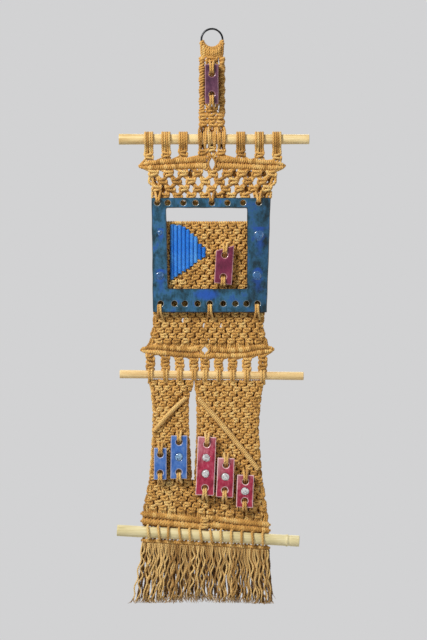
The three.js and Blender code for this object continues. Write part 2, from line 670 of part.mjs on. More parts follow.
piece("top_dowel", straightDowel(TOP_DOWEL, topDowelZ), BAMBOO);
SIDE_HITCHES.forEach((x, i) => {
  const side = x < 0 ? "left" : "right";
  piece(`top_hitch_${side}_${(i % 3) + 1}`, topHitch(x, HITCH_WIDTH), JUTE);
});
NECK_HITCHES.forEach((x, i) => {
  piece("top_hitch_centre_" + (i + 1), topHitch(turnBelow(x), TURN_WIDTH), JUTE);
});
piece("upper_band_upper_row", upperRow(UPPER_BAND, upperBandZ), JUTE);
piece("upper_band_lower_row", lowerRow(UPPER_BAND, upperBandZ), JUTE);
piece("upper_net", upperNet(), JUTE);

piece("ceramic_frame", ceramicFrame(), TEAL_GLAZE);
piece("back_sennit_left", backSennit(-1), JUTE);
piece("back_sennit_right", backSennit(1), JUTE);
piece("inner_panel", innerPanel(), JUTE);
piece("blue_triangle", blueTriangle(), BLUE_CORD);
const innerPlaqueZ = windowFoot + INNER_PLAQUE.rise;
addPlaque("inner_plaque", INNER_PLAQUE, innerPlaqueZ, WINE_GLAZE, [STRAP.reach, STRAP.thick]);

piece("lower_net", lowerNet(), JUTE);
piece("lower_band_upper_row", upperRow(LOWER_BAND, lowerBandZ), JUTE);
piece("lower_band_lower_row", lowerRowWithHitches(), JUTE);
piece("middle_dowel", straightDowel(MIDDLE_DOWEL, middleDowelZ), BAMBOO);

const leftTurns = MIDDLE_HITCHES.filter((x) => x < SLIT.seam);
const rightTurns = MIDDLE_HITCHES.filter((x) => x > SLIT.right);
piece("left_panel", withTurns(cutByRidge(leftFabric(), LEFT_DIAGONAL, 1), leftTurns), JUTE);
piece("left_diagonal", diagonal(LEFT_DIAGONAL), JUTE);
piece("left_lower_panel", cutByRidge(leftFabric(), LEFT_DIAGONAL, -1), JUTE);
piece("right_panel", withTurns(cutByRidge(rightFabric(), RIGHT_DIAGONAL, 1), rightTurns), JUTE);
piece("right_diagonal", diagonal(RIGHT_DIAGONAL), JUTE);
piece("right_lower_panel", cutByRidge(rightFabric(), RIGHT_DIAGONAL, -1), JUTE);
for (const plaque of LOWER_PLAQUES) {
  const glaze = plaque.name.startsWith("blue") ? SKY_GLAZE : ROSE_GLAZE;
  addPlaque(plaque.name, plaque, middleDowelZ - plaque.drop, glaze);
}

piece("bottom_net", bottomNet(), JUTE);
piece("bottom_band_upper_row", strip(rowFoot + ROW + GAP, ROW), JUTE);
piece("bottom_band_lower_row", strip(rowFoot, ROW), JUTE);
piece("bottom_hitches", bottomHitches(), JUTE);
piece("bottom_dowel", bottomDowel(), BAMBOO);
piece("fringe", fringe(), JUTE);

export default hanging;
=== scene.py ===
import json
import math

import bpy
import numpy as np
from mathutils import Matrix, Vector
from mathutils.kdtree import KDTree


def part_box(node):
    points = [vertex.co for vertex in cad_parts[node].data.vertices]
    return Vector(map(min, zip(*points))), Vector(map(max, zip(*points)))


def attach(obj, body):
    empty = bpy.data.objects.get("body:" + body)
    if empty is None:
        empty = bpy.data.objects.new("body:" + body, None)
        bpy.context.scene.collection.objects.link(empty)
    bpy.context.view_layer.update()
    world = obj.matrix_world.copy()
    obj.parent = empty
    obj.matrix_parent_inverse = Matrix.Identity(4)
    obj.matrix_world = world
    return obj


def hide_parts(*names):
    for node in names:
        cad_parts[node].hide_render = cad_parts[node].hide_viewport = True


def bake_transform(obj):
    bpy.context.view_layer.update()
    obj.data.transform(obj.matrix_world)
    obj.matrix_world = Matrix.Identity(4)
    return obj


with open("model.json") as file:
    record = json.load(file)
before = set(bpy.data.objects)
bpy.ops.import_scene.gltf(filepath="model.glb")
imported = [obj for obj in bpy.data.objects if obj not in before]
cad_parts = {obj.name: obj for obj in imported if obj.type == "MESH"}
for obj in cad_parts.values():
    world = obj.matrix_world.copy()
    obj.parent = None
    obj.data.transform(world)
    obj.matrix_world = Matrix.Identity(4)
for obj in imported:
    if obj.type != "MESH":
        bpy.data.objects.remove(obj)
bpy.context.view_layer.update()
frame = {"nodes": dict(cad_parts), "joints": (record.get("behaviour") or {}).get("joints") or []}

# Sizes are in millimetres up to the point where a mesh is made.
MM = 0.001
rng = np.random.default_rng(17)

CORD_RADIUS = 1.38
END_RADIUS = 1.42  # of every cord where one piece's part of it ends and the next one's begins
LOOP_CORD = 1.24  # of the cords in rows of hitches, which press against each other
CORD_SIDES = 12
CORD_STEP = 1.0  # between the rings of vertices along a cord
CORD_LAY = 8.5  # one full turn of the three plies
PLY_DEPTH = 0.13  # how deep the grooves between plies are, as a share of the radius
HITCH_PITCH = 2.45  # between neighbouring loops of a row of hitches
STRANDS = 36
GROUP = 4  # cords in a square knot
FRONT = -2.7  # depth of a cord that passes over its neighbours
PAINTED_SHADE_TONE = -0.5  # darker tone of the cords that lie behind others: painted shade
BEHIND = -FRONT


# ---------------------------------------------------------------- places from the frame
def low(node):
    return np.array(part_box(node)[0]) / MM


def high(node):
    return np.array(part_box(node)[1]) / MM


def centre(node):
    return (low(node) + high(node)) / 2


def joint(name):
    return next(j for j in frame["joints"] if j["name"] == name)


TOP_Z = centre("top_dowel")[2]
TOP_RADIUS = (high("top_dowel")[2] - low("top_dowel")[2]) / 2
MIDDLE_X, _, MIDDLE_Z = centre("middle_dowel")
MIDDLE_RADIUS = (high("middle_dowel")[1] - low("middle_dowel")[1]) / 2
MIDDLE_SLOPE = joint("lower_fold")["axis"][2] / joint("lower_fold")["axis"][0]
BOTTOM_X, _, BOTTOM_Z = centre("bottom_dowel")
BOTTOM_RADIUS = 7.2
BOTTOM_SLOPE = joint("fringe_fold")["axis"][2] / joint("fringe_fold")["axis"][0]
RING_Z = centre("hanging_ring")[2]
NECK_FOLD_Z = joint("neck_fold")["pos_m"][2] / MM
FRINGE_FOLD = np.array(joint("fringe_fold")["pos_m"]) / MM
FRAME_TOP, FRAME_FOOT = high("ceramic_frame")[2], low("ceramic_frame")[2]
FRAME_FRONT = low("ceramic_frame")[1]


def middle_axis(x):
    return MIDDLE_Z + MIDDLE_SLOPE * (x - MIDDLE_X)


def bottom_axis(x):
    return BOTTOM_Z + BOTTOM_SLOPE * (x - BOTTOM_X)


def along(points):
    """A function from one row of values to another, through points given as (place, value)."""
    places, values = zip(*sorted(points))
    return lambda at: float(np.interp(at, places, values))


# ---------------------------------------------------------------- meshes of round strands
def placed_object(name, data):
    """A new object in the scene."""
    made = bpy.data.objects.new(name, data)
    bpy.context.collection.objects.link(made)
    return made


def cut_corners(points, rounds):
    p = np.asarray(points, float)
    for _ in range(rounds):
        if len(p) < 3:
            break
        inner = np.stack([0.75 * p[:-1] + 0.25 * p[1:], 0.25 * p[:-1] + 0.75 * p[1:]], 1).reshape(-1, 3)
        p = np.vstack([p[:1], inner, p[-1:]])
    return p


def evenly(points, step):
    lengths = np.linalg.norm(np.diff(points, axis=0), axis=1)
    points = points[np.r_[True, lengths > 1e-6]]
    s = np.r_[0, np.cumsum(np.linalg.norm(np.diff(points, axis=0), axis=1))]
    t = np.linspace(0, s[-1], max(3, int(round(s[-1] / step)) + 1))
    return np.column_stack([np.interp(t, s, points[:, k]) for k in range(3)]), t


def unit(v):
    return v / np.maximum(np.linalg.norm(v, axis=-1, keepdims=True), 1e-9)


def steady_frames(p):
    """Two directions across a line at each point, which don't twist along it."""
    tangent = unit(np.gradient(p, axis=0))
    start = np.array([0.0, 1.0, 0.0]) if abs(tangent[0, 1]) < 0.8 else np.array([1.0, 0.0, 0.0])
    across = np.empty_like(p)
    last = start
    for i, t in enumerate(tangent):
        last = last - t * (last @ t)
        last = last / math.sqrt(last @ last)
        across[i] = last
    return across, np.cross(tangent, across)


class Strands:
    """Tubes that together make one piece."""

    def __init__(self, radius=CORD_RADIUS, sides=CORD_SIDES):
        self.rings = []
        self.radius, self.sides = radius, sides

    def add(self, points, radius=None, sides=None, step=CORD_STEP, lay=CORD_LAY, plies=3,
            depth=PLY_DEPTH, rounds=2, taper=0.0, ends=None, tone=None):
        radius, sides = radius or self.radius, sides or self.sides
        line, s = evenly(cut_corners(points, rounds), step)
        across, up = steady_frames(line)
        a = 2 * np.pi * np.arange(sides) / sides
        angle = a[None, :] + 2 * np.pi * s[:, None] / lay + rng.uniform(0, 2 * np.pi)
        size = np.full(len(s), radius)
        if ends:
            near = np.minimum(s, s[-1] - s)
            size = radius + (ends - radius) * np.exp(-((near / 3.0) ** 2))
        if taper:
            size = size * (1 - taper * np.clip((s - s[-1] * 0.6) / (s[-1] * 0.4), 0, 1))
        r = size[:, None] * (1 + depth * np.cos(plies * a))[None, :]
        offset = across[:, None, :] * (r * np.cos(angle))[..., None]
        offset = offset + up[:, None, :] * (r * np.sin(angle))[..., None]
        # A random value for each strand unless one is given; set low values paint shade on cords that lie
        # behind others.
        tone = rng.uniform(0, 1) if tone is None else tone
        self.rings.append((line[:, None, :] + offset, line, s, tone, radius))

    def build(self, name, material):
        verts, loops, starts, uvs, tone_and_shade_values = [], [], [], [], []
        base, corner = 0, 0
        for ring, line, s, tone, radius in self.rings:
            n, sides = ring.shape[:2]
            first, last = base + n * sides, base + n * sides + 1
            verts += [ring.reshape(-1, 3), line[:1], line[-1:]]
            i = np.arange(n - 1)[:, None]
            j = np.arange(sides)[None, :]
            k = (j + 1) % sides
            quads = np.stack([base + i * sides + j, base + i * sides + k,
                              base + (i + 1) * sides + k, base + (i + 1) * sides + j], -1).reshape(-1, 4)
            along_it = s / (2 * radius)
            u0, u1 = np.broadcast_to(along_it[:-1, None], (n - 1, sides)), np.broadcast_to(
                along_it[1:, None], (n - 1, sides))
            v0 = np.broadcast_to(j / sides, (n - 1, sides))
            v1 = np.broadcast_to((j + 1) / sides, (n - 1, sides))
            quad_uv = np.stack([np.stack([u0, v0], -1), np.stack([u0, v1], -1),
                                np.stack([u1, v1], -1), np.stack([u1, v0], -1)], 2).reshape(-1, 2)
            ends = []
            for q in range(sides):
                ends.append([first, base + (q + 1) % sides, base + q])
                top = base + (n - 1) * sides
                ends.append([last, top + q, top + (q + 1) % sides])
            ends = np.array(ends)
            end_uv = np.tile([[along_it[0], 0.5]], (ends.size, 1))
            loops += [quads.reshape(-1), ends.reshape(-1)]
            uvs += [quad_uv, end_uv]
            starts += [corner + 4 * np.arange(len(quads)), corner + 4 * len(quads) + 3 * np.arange(len(ends))]
            corner += quads.size + ends.size
            base += n * sides + 2
            tone_and_shade_values.append(np.full(n * sides + 2, tone))
        mesh = bpy.data.meshes.new(name)
        points = np.concatenate(verts) * MM
        mesh.vertices.add(len(points))
        mesh.vertices.foreach_set("co", points.astype(np.float32).ravel())
        mesh.loops.add(corner)
        mesh.loops.foreach_set("vertex_index", np.concatenate(loops).astype(np.int32))
        starts = np.concatenate(starts).astype(np.int32)
        mesh.polygons.add(len(starts))
        mesh.polygons.foreach_set("loop_start", starts)
        mesh.polygons.foreach_set("use_smooth", np.ones(len(starts), bool))
        layer = mesh.uv_layers.new(name="Lay")
        layer.data.foreach_set("uv", np.concatenate(uvs).astype(np.float32).ravel())
        tone_and_shade_layer = mesh.attributes.new("tone", "FLOAT", "POINT")
        tone_and_shade_layer.data.foreach_set("value", np.concatenate(tone_and_shade_values).astype(np.float32))
        mesh.update(calc_edges=True)
        mesh.validate()
        mesh.materials.append(material)
        return placed_object(name, mesh)


class Loom:
    """The paths of numbered cords, which knots add to."""

    def __init__(self, count):
        self.paths = [[] for _ in range(count)]

    def go(self, cord, points):
        self.paths[cord].extend([tuple(p) for p in points])

    def cut(self, strands, ends=END_RADIUS):
        """Puts the cords so far into strands, and goes on from where they end."""
        for path in self.paths:
            if len(path) > 1:
                strands.add(path, ends=ends)
        self.paths = [path[-1:] for path in self.paths]


# ---------------------------------------------------------------- knots
def four(group):
    """The numbers of a group's cords."""
    return range(GROUP * group, GROUP * group + GROUP)


# Points of a square knot's cords about its middle: across, depth, up.
OVER_CORD = [(-4.1, 0.2, 3.9), (-3.5, -1.4, 3.2), (-1.4, FRONT, 2.5), (1.4, FRONT, 2.0), (3.3, -1.4, 1.6),
             (4.1, 0.3, 0.4), (3.4, -1.4, -0.6), (1.4, FRONT, -1.1), (-1.4, FRONT, -1.6), (-3.4, -1.4, -2.2),
             (-4.2, 0.2, -3.1), (-4.1, 0.2, -3.9)]
UNDER_CORD = [(4.1, 0.0, 3.9), (4.5, -1.7, 3.0), (4.4, -2.4, 1.7), (3.9, -0.3, 0.8), (2.6, 1.8, 0.7),
              (0.0, BEHIND, 0.6), (-2.6, 1.8, 0.7), (-4.0, 0.0, 0.9), (-4.5, -1.7, 0.2), (-4.4, -2.5, -1.2),
              (-4.1, -1.2, -2.3), (-2.6, 1.7, -2.6), (0.0, BEHIND, -2.5), (2.6, 1.8, -2.4), (4.2, 0.1, -2.8),
              (4.1, 0.0, -3.9)]
KNOT_HALF = 3.9


def square_knot(loom, cords, x, z, mirror=False, lean=0.0, wide=1.0, tall=1.0, y=0.0):
    """Two outer cords tied round two straight ones."""
    left, one, two, right = cords
    over, under = (right, left) if mirror else (left, right)
    side = -1 if mirror else 1
    x, z = x + rng.normal(0, 0.18), z + rng.normal(0, 0.18)
    c, s = math.cos(lean), math.sin(lean)

    def placed(points, flip):
        for a, depth, up in points:
            a, up = a * flip * wide, up * tall
            yield (x + a * c - up * s, y + depth, z + up * c + a * s)

    loom.go(over, placed(OVER_CORD, side))
    loom.go(under, placed(UNDER_CORD, side))
    for cord, at in ((one, -1.4), (two, 1.4)):
        loom.go(cord, placed([(at * 1.3, 0.0, KNOT_HALF), (at, 0.1, 0.0), (at * 1.3, 0.0, -KNOT_HALF)], 1))


def cross_behind(strands, x, z, reach, drop, radius):
    """Two cords that cross behind a gap between knots, and one straight down between them. They are painted
    dark, as shade seen through the gap.
    """
    for side in (-1, 1):
        points = [(x - side * reach, 1.6, z + drop), (x, 3.1 + 0.9 * side, z),
                  (x + side * reach, 1.6, z - drop)]
        strands.add(points, radius=radius, tone=PAINTED_SHADE_TONE)
    strands.add([(x, 2.2, z + drop + 1.2), (x, 3.1, z), (x, 2.2, z - drop - 1.2)], radius=radius * 1.06,
                tone=PAINTED_SHADE_TONE)


def net(loom, cords, rows, left, right, slope=0.0, pivot=0.0, sunk=None, odd=False, wide=1.14, tall=1.12,
        backing=None, closed=1.0):
    """Rows of square knots, each row half a knot across from the row above.

    sunk tells which knots lie further back. closed is the share of the gaps that have cords crossing behind
    them, which go into the backing. These dark cords put painted shade in the gaps."""
    groups = len(cords) // GROUP

    def sloped(x, z):
        return z + slope * (x - pivot)

    def cross(x, z, reach):
        cross_behind(backing, x, sloped(x, z), reach, 3.7 * tall, 1.44 * tall)

    for number, z in enumerate(rows):
        x0, x1 = left(z), right(z)
        pitch = (x1 - x0) / groups
        offset = (number + odd) % 2
        if offset:
            for edge, side, at in ((cords[:2], 1, x0), (cords[-2:][::-1], -1, x1)):
                if backing:
                    cross(at + side * pitch * 0.42, z, pitch * 0.28)
                for k, cord in enumerate(edge):
                    x = at + side * (1.4 + (0.3 * pitch - 0.6) * k)
                    loom.go(cord, [(x, 0, sloped(x, z) + 1.5), (x, 0, sloped(x, z) - 1.5)])
        for g in range(groups - offset):
            first = GROUP * g + 2 * offset
            x = x0 + pitch * (g + 0.5 + 0.5 * offset)
            knot_z = sloped(x, z)
            if backing and (offset or g) and rng.random() < closed:
                cross(x - pitch / 2, z, pitch * 0.32)
            spread = wide * min(1.12, pitch / 15.5) * rng.uniform(0.95, 1.05)
            mirror = rng.random() < 0.5
            lean = math.atan(slope) + rng.normal(0, 0.05)
            y = 2.3 if sunk and sunk(x, knot_z) else 0.0
            square_knot(loom, cords[first:first + GROUP], x, knot_z, mirror=mirror, lean=lean, y=y,
                        wide=spread, tall=tall * rng.uniform(0.95, 1.08))


def hitch_row(loom, cords, line, y=0.0, loops_each=2):
    """Each cord loops round a leading cord. line gives x, z and half the row's height for a share of it."""
    loops = loops_each * len(cords)
    for i, cord in enumerate(cords):
        points = []
        swell = rng.uniform(0.88, 1.14)
        for turns in np.arange(0, loops_each - 0.49, 0.125):
            share = (loops_each * i + turns + 0.25) / loops
            x, z, half = line(share)
            ahead, behind = line(min(1, share + 0.01)), line(max(0, share - 0.01))
            run = unit(np.array([ahead[0] - behind[0], ahead[1] - behind[1]]))
            angle = 2 * math.pi * turns
            reach = max(0.7, half - LOOP_CORD)
            up, depth = reach * math.cos(angle), -min(2.7, 0.7 + reach) * swell * math.sin(angle)
            points.append((x - run[1] * up, y + depth, z + run[0] * up))
        loom.go(cord, points)


def coil(strands, points, pitch=HITCH_PITCH, radius=2.2, end_radius=None, **form):
    """A cord wound round a line of points, turn beside turn."""
    line, s = evenly(cut_corners(points, 3), pitch / 8)
    across, up = steady_frames(line)
    angle = 2 * np.pi * s / pitch
    share = np.abs(2 * s / s[-1] - 1)[:, None] ** 2
    size = radius + ((end_radius or radius) - radius) * share
    turns = np.cos(angle)[:, None] * across + np.sin(angle)[:, None] * up
    strands.add(line + size * turns, rounds=1, **form)


# ---------------------------------------------------------------- materials
def new_material(name):
    material = bpy.data.materials.new(name)
    material.use_nodes = True
    tree = material.node_tree
    tree.nodes.clear()
    out = tree.nodes.new("ShaderNodeOutputMaterial")
    shader = tree.nodes.new("ShaderNodeBsdfPrincipled")
    tree.links.new(shader.outputs[0], out.inputs[0])
    return material, Nodes(tree), shader


class Nodes:
    """Short forms for the nodes that the materials are made of."""

    def __init__(self, tree):
        self.tree = tree

    def make(self, kind, inputs=None, **settings):
        node = self.tree.nodes.new(kind)
        for key, value in settings.items():
            setattr(node, key, value)
        self.fill(node, inputs or {})
        return node

    def fill(self, node, inputs):
        """Gives inputs a value each, or a link where the value is another node's output."""
        for key, value in inputs.items():
            if isinstance(value, bpy.types.NodeSocket):
                self.tree.links.new(value, node.inputs[key])
            else:
                node.inputs[key].default_value = value

    def ramp(self, factor, stops):
        node = self.make("ShaderNodeValToRGB", {"Fac": factor})
        elements = node.color_ramp.elements
        for _ in range(len(stops) - 2):
            elements.new(0.5)
        for element, (at, colour) in zip(elements, stops):
            element.position = at
            element.color = colour if len(colour) == 4 else (*colour, 1)
        return node.outputs["Color"]

    def mix(self, factor, one, two, blend="MIX"):
        node = self.make("ShaderNodeMix", data_type="RGBA", blend_type=blend)
        one, two = ((*colour, 1) if isinstance(colour, tuple) else colour for colour in (one, two))
        self.fill(node, {0: factor, 6: one, 7: two})
        return node.outputs[2]

    def math(self, operation, one, two=0.0, three=0.5):
        inputs = {0: one, 1: two, 2: three}
        return self.make("ShaderNodeMath", inputs, operation=operation).outputs[0]

    def weigh(self, one, share, two, other):
        """The sum of two values, each times its share."""
        return self.math("ADD", self.math("MULTIPLY", one, share), self.math("MULTIPLY", two, other))

    def place(self):
        return self.make("ShaderNodeTexCoord").outputs["Object"]

    def attribute(self, name):
        return self.make("ShaderNodeAttribute", attribute_name=name).outputs["Fac"]

    def stretch(self, vector, scale, turn=0.0):
        inputs = {"Vector": vector, "Scale": scale, "Rotation": (0, 0, turn)}
        return self.make("ShaderNodeMapping", inputs).outputs[0]

    def noise(self, vector, scale, detail=4, rough=0.55):
        inputs = {"Vector": vector, "Scale": scale, "Detail": detail, "Roughness": rough}
        return self.make("ShaderNodeTexNoise", inputs).outputs["Fac"]

    def bump(self, height, strength, distance=0.0004):
        inputs = {"Height": height, "Strength": strength, "Distance": distance}
        return self.make("ShaderNodeBump", inputs).outputs["Normal"]


def srgb(r, g, b):
    """A colour given as 0 to 255 screen values."""
    return tuple(((c / 255 + 0.055) / 1.055) ** 2.4 if c > 10 else c / 255 / 12.92 for c in (r, g, b))


BLACK, WHITE = (0, 0, 0), (1, 1, 1)


def cord_material(name, dark, base, light, roughness=0.88, fibre=1.0, sheen=0.2, tone_and_shade_share=0.22):
    material, n, shader = new_material(name)
    uv = n.make("ShaderNodeUVMap", uv_map="Lay").outputs[0]
    tone = n.attribute("tone")
    place = n.place()
    fibres = n.stretch(uv, (1.3, 30, 1), 0.12)
    fine = n.noise(fibres, 1.6, 5, 0.65)
    patch = n.noise(place, 60, 3)
    split = n.make("ShaderNodeSeparateXYZ", {"Vector": uv}).outputs["Y"]
    lobe = n.math("COSINE", n.math("MULTIPLY", split, 6 * math.pi))
    groove = n.math("MULTIPLY_ADD", lobe, 0.5, 0.5)
    rest = 1 - tone_and_shade_share
    mixed = n.weigh(fine, 0.66 * rest, patch, 0.34 * rest)
    # Each strand's value lightens or darkens it: a random tone, and painted shade or light where a set value
    # was given.
    mixed = n.math("ADD", mixed, n.math("MULTIPLY", tone, tone_and_shade_share))
    colour = n.ramp(mixed, [(0.28, dark), (0.5, base), (0.72, light)])
    # Painted shade: the colour is darkened in the grooves between the plies.
    shade = n.ramp(groove, [(0.0, (0.42, 0.34, 0.25)), (0.5, WHITE)])
    colour = n.mix(0.75, colour, shade, "MULTIPLY")
    height = n.math("ADD", fine, n.math("MULTIPLY", groove, 0.6))
    n.fill(shader, {"Base Color": colour, "Roughness": roughness, "Sheen Weight": sheen,
                    "Sheen Roughness": 0.5, "Specular IOR Level": 0.25,
                    "Normal": n.bump(height, 0.55 * fibre, 0.0003)})
    return material


def glaze_material(name, stops, scale=70, rim=None, rim_share=0.85, roughness=0.2, runs=None, hole_rim=None,
                   dark_side=None):
    """Mottled glossy glaze. The rim attribute is 1 at edges: the frame's dark rim colour there is painted
    shade, and the plaques' pale rim colours are thin glaze together with a painted highlight.
    """
    material, n, shader = new_material(name)
    place = n.place()
    broad = n.noise(place, scale, 5, 0.62)
    stretched = n.stretch(place, (1, 1, 0.5))
    cloudy = n.noise(stretched, scale * 3.1, 8, 0.72)
    mixed = n.weigh(broad, 0.52, cloudy, 0.48)
    colour = n.ramp(mixed, stops)

    def ragged(value, much):
        return n.math("ADD", value, n.math("MULTIPLY", n.math("SUBTRACT", cloudy, 0.5), much))

    def over(colour, value, much, first, last, share, top):
        """Lays a second colour over the first where value is high, with a ragged edge."""
        mask = n.ramp(ragged(value, much), [(first, BLACK), (last, WHITE)])
        return n.mix(n.math("MULTIPLY", mask, share), colour, top)

    if runs:
        colour = over(colour, n.attribute("run"), 1.3, 0.15, 1.0, 0.85, runs)
    # Darker towards the right rail (+X): painted shade on that side, together with the rail's own darker
    # glaze.
    if dark_side:
        across = n.math("MULTIPLY", n.make("ShaderNodeSeparateXYZ", {"Vector": place}).outputs["X"], 12)
        mask = n.ramp(ragged(across, 0.6), [(0.3, BLACK), (0.75, WHITE)])
        colour = n.mix(n.math("MULTIPLY", mask, 0.7), colour, n.mix(0.7, colour, dark_side, "MULTIPLY"))
    if rim:
        colour = over(colour, n.attribute("rim"), 1.0, 0.45, 0.85, rim_share, rim)
    # Pale rims round the frame's small holes: thin glaze together with a painted highlight.
    if hole_rim:
        colour = over(colour, n.attribute("hole"), 1.4, 0.5, 0.9, 0.7, hole_rim)
    gloss = n.ramp(cloudy, [(0.3, (roughness,) * 3), (0.75, (roughness + 0.25,) * 3)])
    n.fill(shader, {"Base Color": colour, "Roughness": gloss, "Coat Weight": 0.6, "Coat Roughness": 0.08,
                    "Normal": n.bump(mixed, 0.6, 0.0008)})
    return material


def wood_material(name, dark, base, light, ring_marks=True):
    material, n, shader = new_material(name)
    place = n.place()
    grain_place = n.stretch(place, (9, 260, 260))
    grain = n.noise(grain_place, 2.2, 6, 0.6)
    blotch = n.noise(n.stretch(place, (22, 60, 60)), 1.4, 4)
    colour = n.ramp(n.weigh(grain, 0.55, blotch, 0.45), [(0.3, dark), (0.5, base), (0.7, light)])
    if ring_marks:
        flecks = n.stretch(place, (60, 300, 300))
        mask = n.ramp(n.noise(flecks, 2.0, 2), [(0.68, BLACK), (0.75, WHITE)])
        colour = n.mix(n.math("MULTIPLY", mask, 0.45), colour, dark)
    end = n.attribute("sawn")
    colour = n.mix(n.math("MULTIPLY", end, 0.55), colour, dark)
    n.fill(shader, {"Base Color": colour, "Roughness": 0.5, "Normal": n.bump(grain, 0.3, 0.0003)})
    return material


JUTE = cord_material("jute", srgb(142, 96, 36), srgb(230, 177, 94), srgb(255, 228, 156))
PALE_JUTE = cord_material("jute_pale", srgb(156, 108, 48), srgb(234, 184, 102), srgb(255, 226, 158))
UNLAID = cord_material("unlaid_jute", srgb(84, 52, 18), srgb(178, 134, 72), srgb(250, 212, 140), 0.92, 1.3,
                       tone_and_shade_share=0.5)
BLUE_CORD = cord_material("blue_cord", srgb(8, 88, 186), srgb(34, 138, 250), srgb(110, 190, 255),
                          0.4, 0.4, 0.1)
TOP_WOOD = wood_material("top_bamboo", srgb(188, 148, 86), srgb(232, 205, 146), srgb(246, 226, 176))
MIDDLE_WOOD = wood_material("middle_bamboo", srgb(192, 146, 82), srgb(232, 200, 140), srgb(246, 222, 168))
BOTTOM_WOOD = wood_material("bottom_bamboo", srgb(182, 166, 112), srgb(222, 208, 158), srgb(238, 228, 186),
                            False)
# The teal glaze's dark rim colour paints shade along the frame's edges and side walls.
TEAL = glaze_material(
    "teal_glaze", [(0.35, srgb(10, 28, 32)), (0.44, srgb(20, 58, 74)), (0.5, srgb(34, 82, 108)),
                   (0.57, srgb(46, 100, 140)), (0.63, srgb(28, 78, 154)), (0.7, srgb(62, 112, 126))],
    64, rim=srgb(20, 32, 36), rim_share=0.8, runs=srgb(24, 80, 178), hole_rim=srgb(150, 152, 140),
    dark_side=srgb(110, 160, 176))
# The plaques' pale rim colours: thin glaze at the edges together with a painted highlight.
PLUM = glaze_material("plum_glaze", [(0.36, srgb(58, 28, 50)), (0.52, srgb(90, 48, 74)),
                                     (0.68, srgb(120, 78, 98))], 80, rim=srgb(176, 130, 140), rim_share=0.6)
WINE = glaze_material("wine_glaze", [(0.36, srgb(82, 20, 46)), (0.52, srgb(114, 32, 66)),
                                     (0.68, srgb(138, 56, 84))], 70, rim=srgb(206, 156, 160), rim_share=0.7)
SKY = glaze_material("sky_glaze", [(0.34, srgb(34, 72, 146)), (0.5, srgb(60, 108, 184)),
                                   (0.66, srgb(112, 144, 200))], 80, rim=srgb(186, 184, 200), rim_share=0.75)
ROSE = glaze_material(
    "rose_glaze", [(0.34, srgb(104, 12, 36)), (0.47, srgb(152, 26, 58)), (0.58, srgb(178, 48, 80)),
                   (0.7, srgb(206, 108, 130))], 76, rim=srgb(236, 204, 204), runs=srgb(214, 156, 164))


def steel_material():
    material, n, shader = new_material("blued_steel")
    place = n.place()
    worn = n.noise(place, 420, 4)
    colour = n.ramp(worn, [(0.35, srgb(34, 35, 38)), (0.7, srgb(88, 90, 94))])
    gloss = n.ramp(worn, [(0.3, (0.22,) * 3), (0.8, (0.48,) * 3)])
    n.fill(shader, {"Base Color": colour, "Roughness": gloss, "Metallic": 1.0,
                    "Normal": n.bump(worn, 0.15, 0.0002)})
    return material


def glass_material(name, tint, milky, roughness=0.06):
    material, n, shader = new_material(name)
    place = n.place()
    inputs = {"Vector": place, "Scale": 420.0, "Detail": 4.0, "Distortion": 2.2}
    swirl = n.make("ShaderNodeTexNoise", inputs).outputs["Fac"]
    colour = n.ramp(swirl, [(0.35, tint), (0.6, milky)])
    n.fill(shader, {"Base Color": colour, "Roughness": roughness, "Coat Weight": 0.6, "Coat Roughness": 0.03,
                    "Normal": n.bump(swirl, 0.3, 0.0004)})
    return material


STEEL = steel_material()
FRAME_GLASS = glass_material("frame_glass", srgb(14, 40, 86), srgb(74, 122, 172), 0.2)
WHITE_GLASS = glass_material("white_glass", srgb(132, 118, 126), srgb(228, 232, 232))
BLUE_GLASS = glass_material("blue_glass", srgb(24, 50, 98), srgb(150, 190, 226))


# ---------------------------------------------------------------- ring and neck
def ring_piece():
    """A split ring: a flattened wire in two turns, side by side."""
    strands = Strands()
    steps = 120
    turn = np.linspace(0, 2 * 2 * np.pi * 0.985, 2 * steps)
    radius = 12.7
    y = np.linspace(-0.85, 0.85, len(turn))
    start = math.radians(62)
    line = np.column_stack([radius * np.cos(start + turn), y, RING_Z + radius * np.sin(start + turn)])
    strands.add(line, radius=1.15, sides=16, step=0.5, lay=1e6, plies=2, depth=0.06, rounds=0)
    return strands.build("split_ring", STEEL)


def ring_hitches():
    strands = Strands(1.55)
    angles = np.radians(np.linspace(-90 - 82, -90 + 82, 60))
    line = np.column_stack([12.6 * np.cos(angles), 0 * angles, RING_Z + 12.6 * np.sin(angles)])
    coil(strands, line, pitch=3.1, radius=3.0, end_radius=1.9)
    return strands.build("ring_cords", JUTE)


SENNIT_X = 12.0
PANEL_X = [-10.4, -0.2, 10.0]


def sennit(loom, cords, x, top, foot, turn_sign):
    """A twisting chain of half knots: two cords wind round two straight ones."""
    one, two, three, four = cords
    steps = int((top - foot) / 0.68)
    for k in range(steps + 1):
        half_knots = 0.25 * k
        z = top + (foot - top) * k / steps
        twist = turn_sign * math.radians(38) * half_knots
        for cord, phase in ((one, 0), (four, math.pi)):
            a = math.pi * half_knots + phase
            across, depth = 3.3 * math.cos(a), -1.9 * math.sin(a)
            loom.go(cord, [(x + across * math.cos(twist) - depth * math.sin(twist),
                            across * math.sin(twist) + depth * math.cos(twist), z)])
    for cord, side in ((two, -1), (three, 1)):
        for z in np.linspace(top, foot, 16):
            twist = turn_sign * math.radians(38) * (top - z) / 2.72
            loom.go(cord, [(x + side * 1.1 * math.cos(twist), side * 1.1 * math.sin(twist), z)])


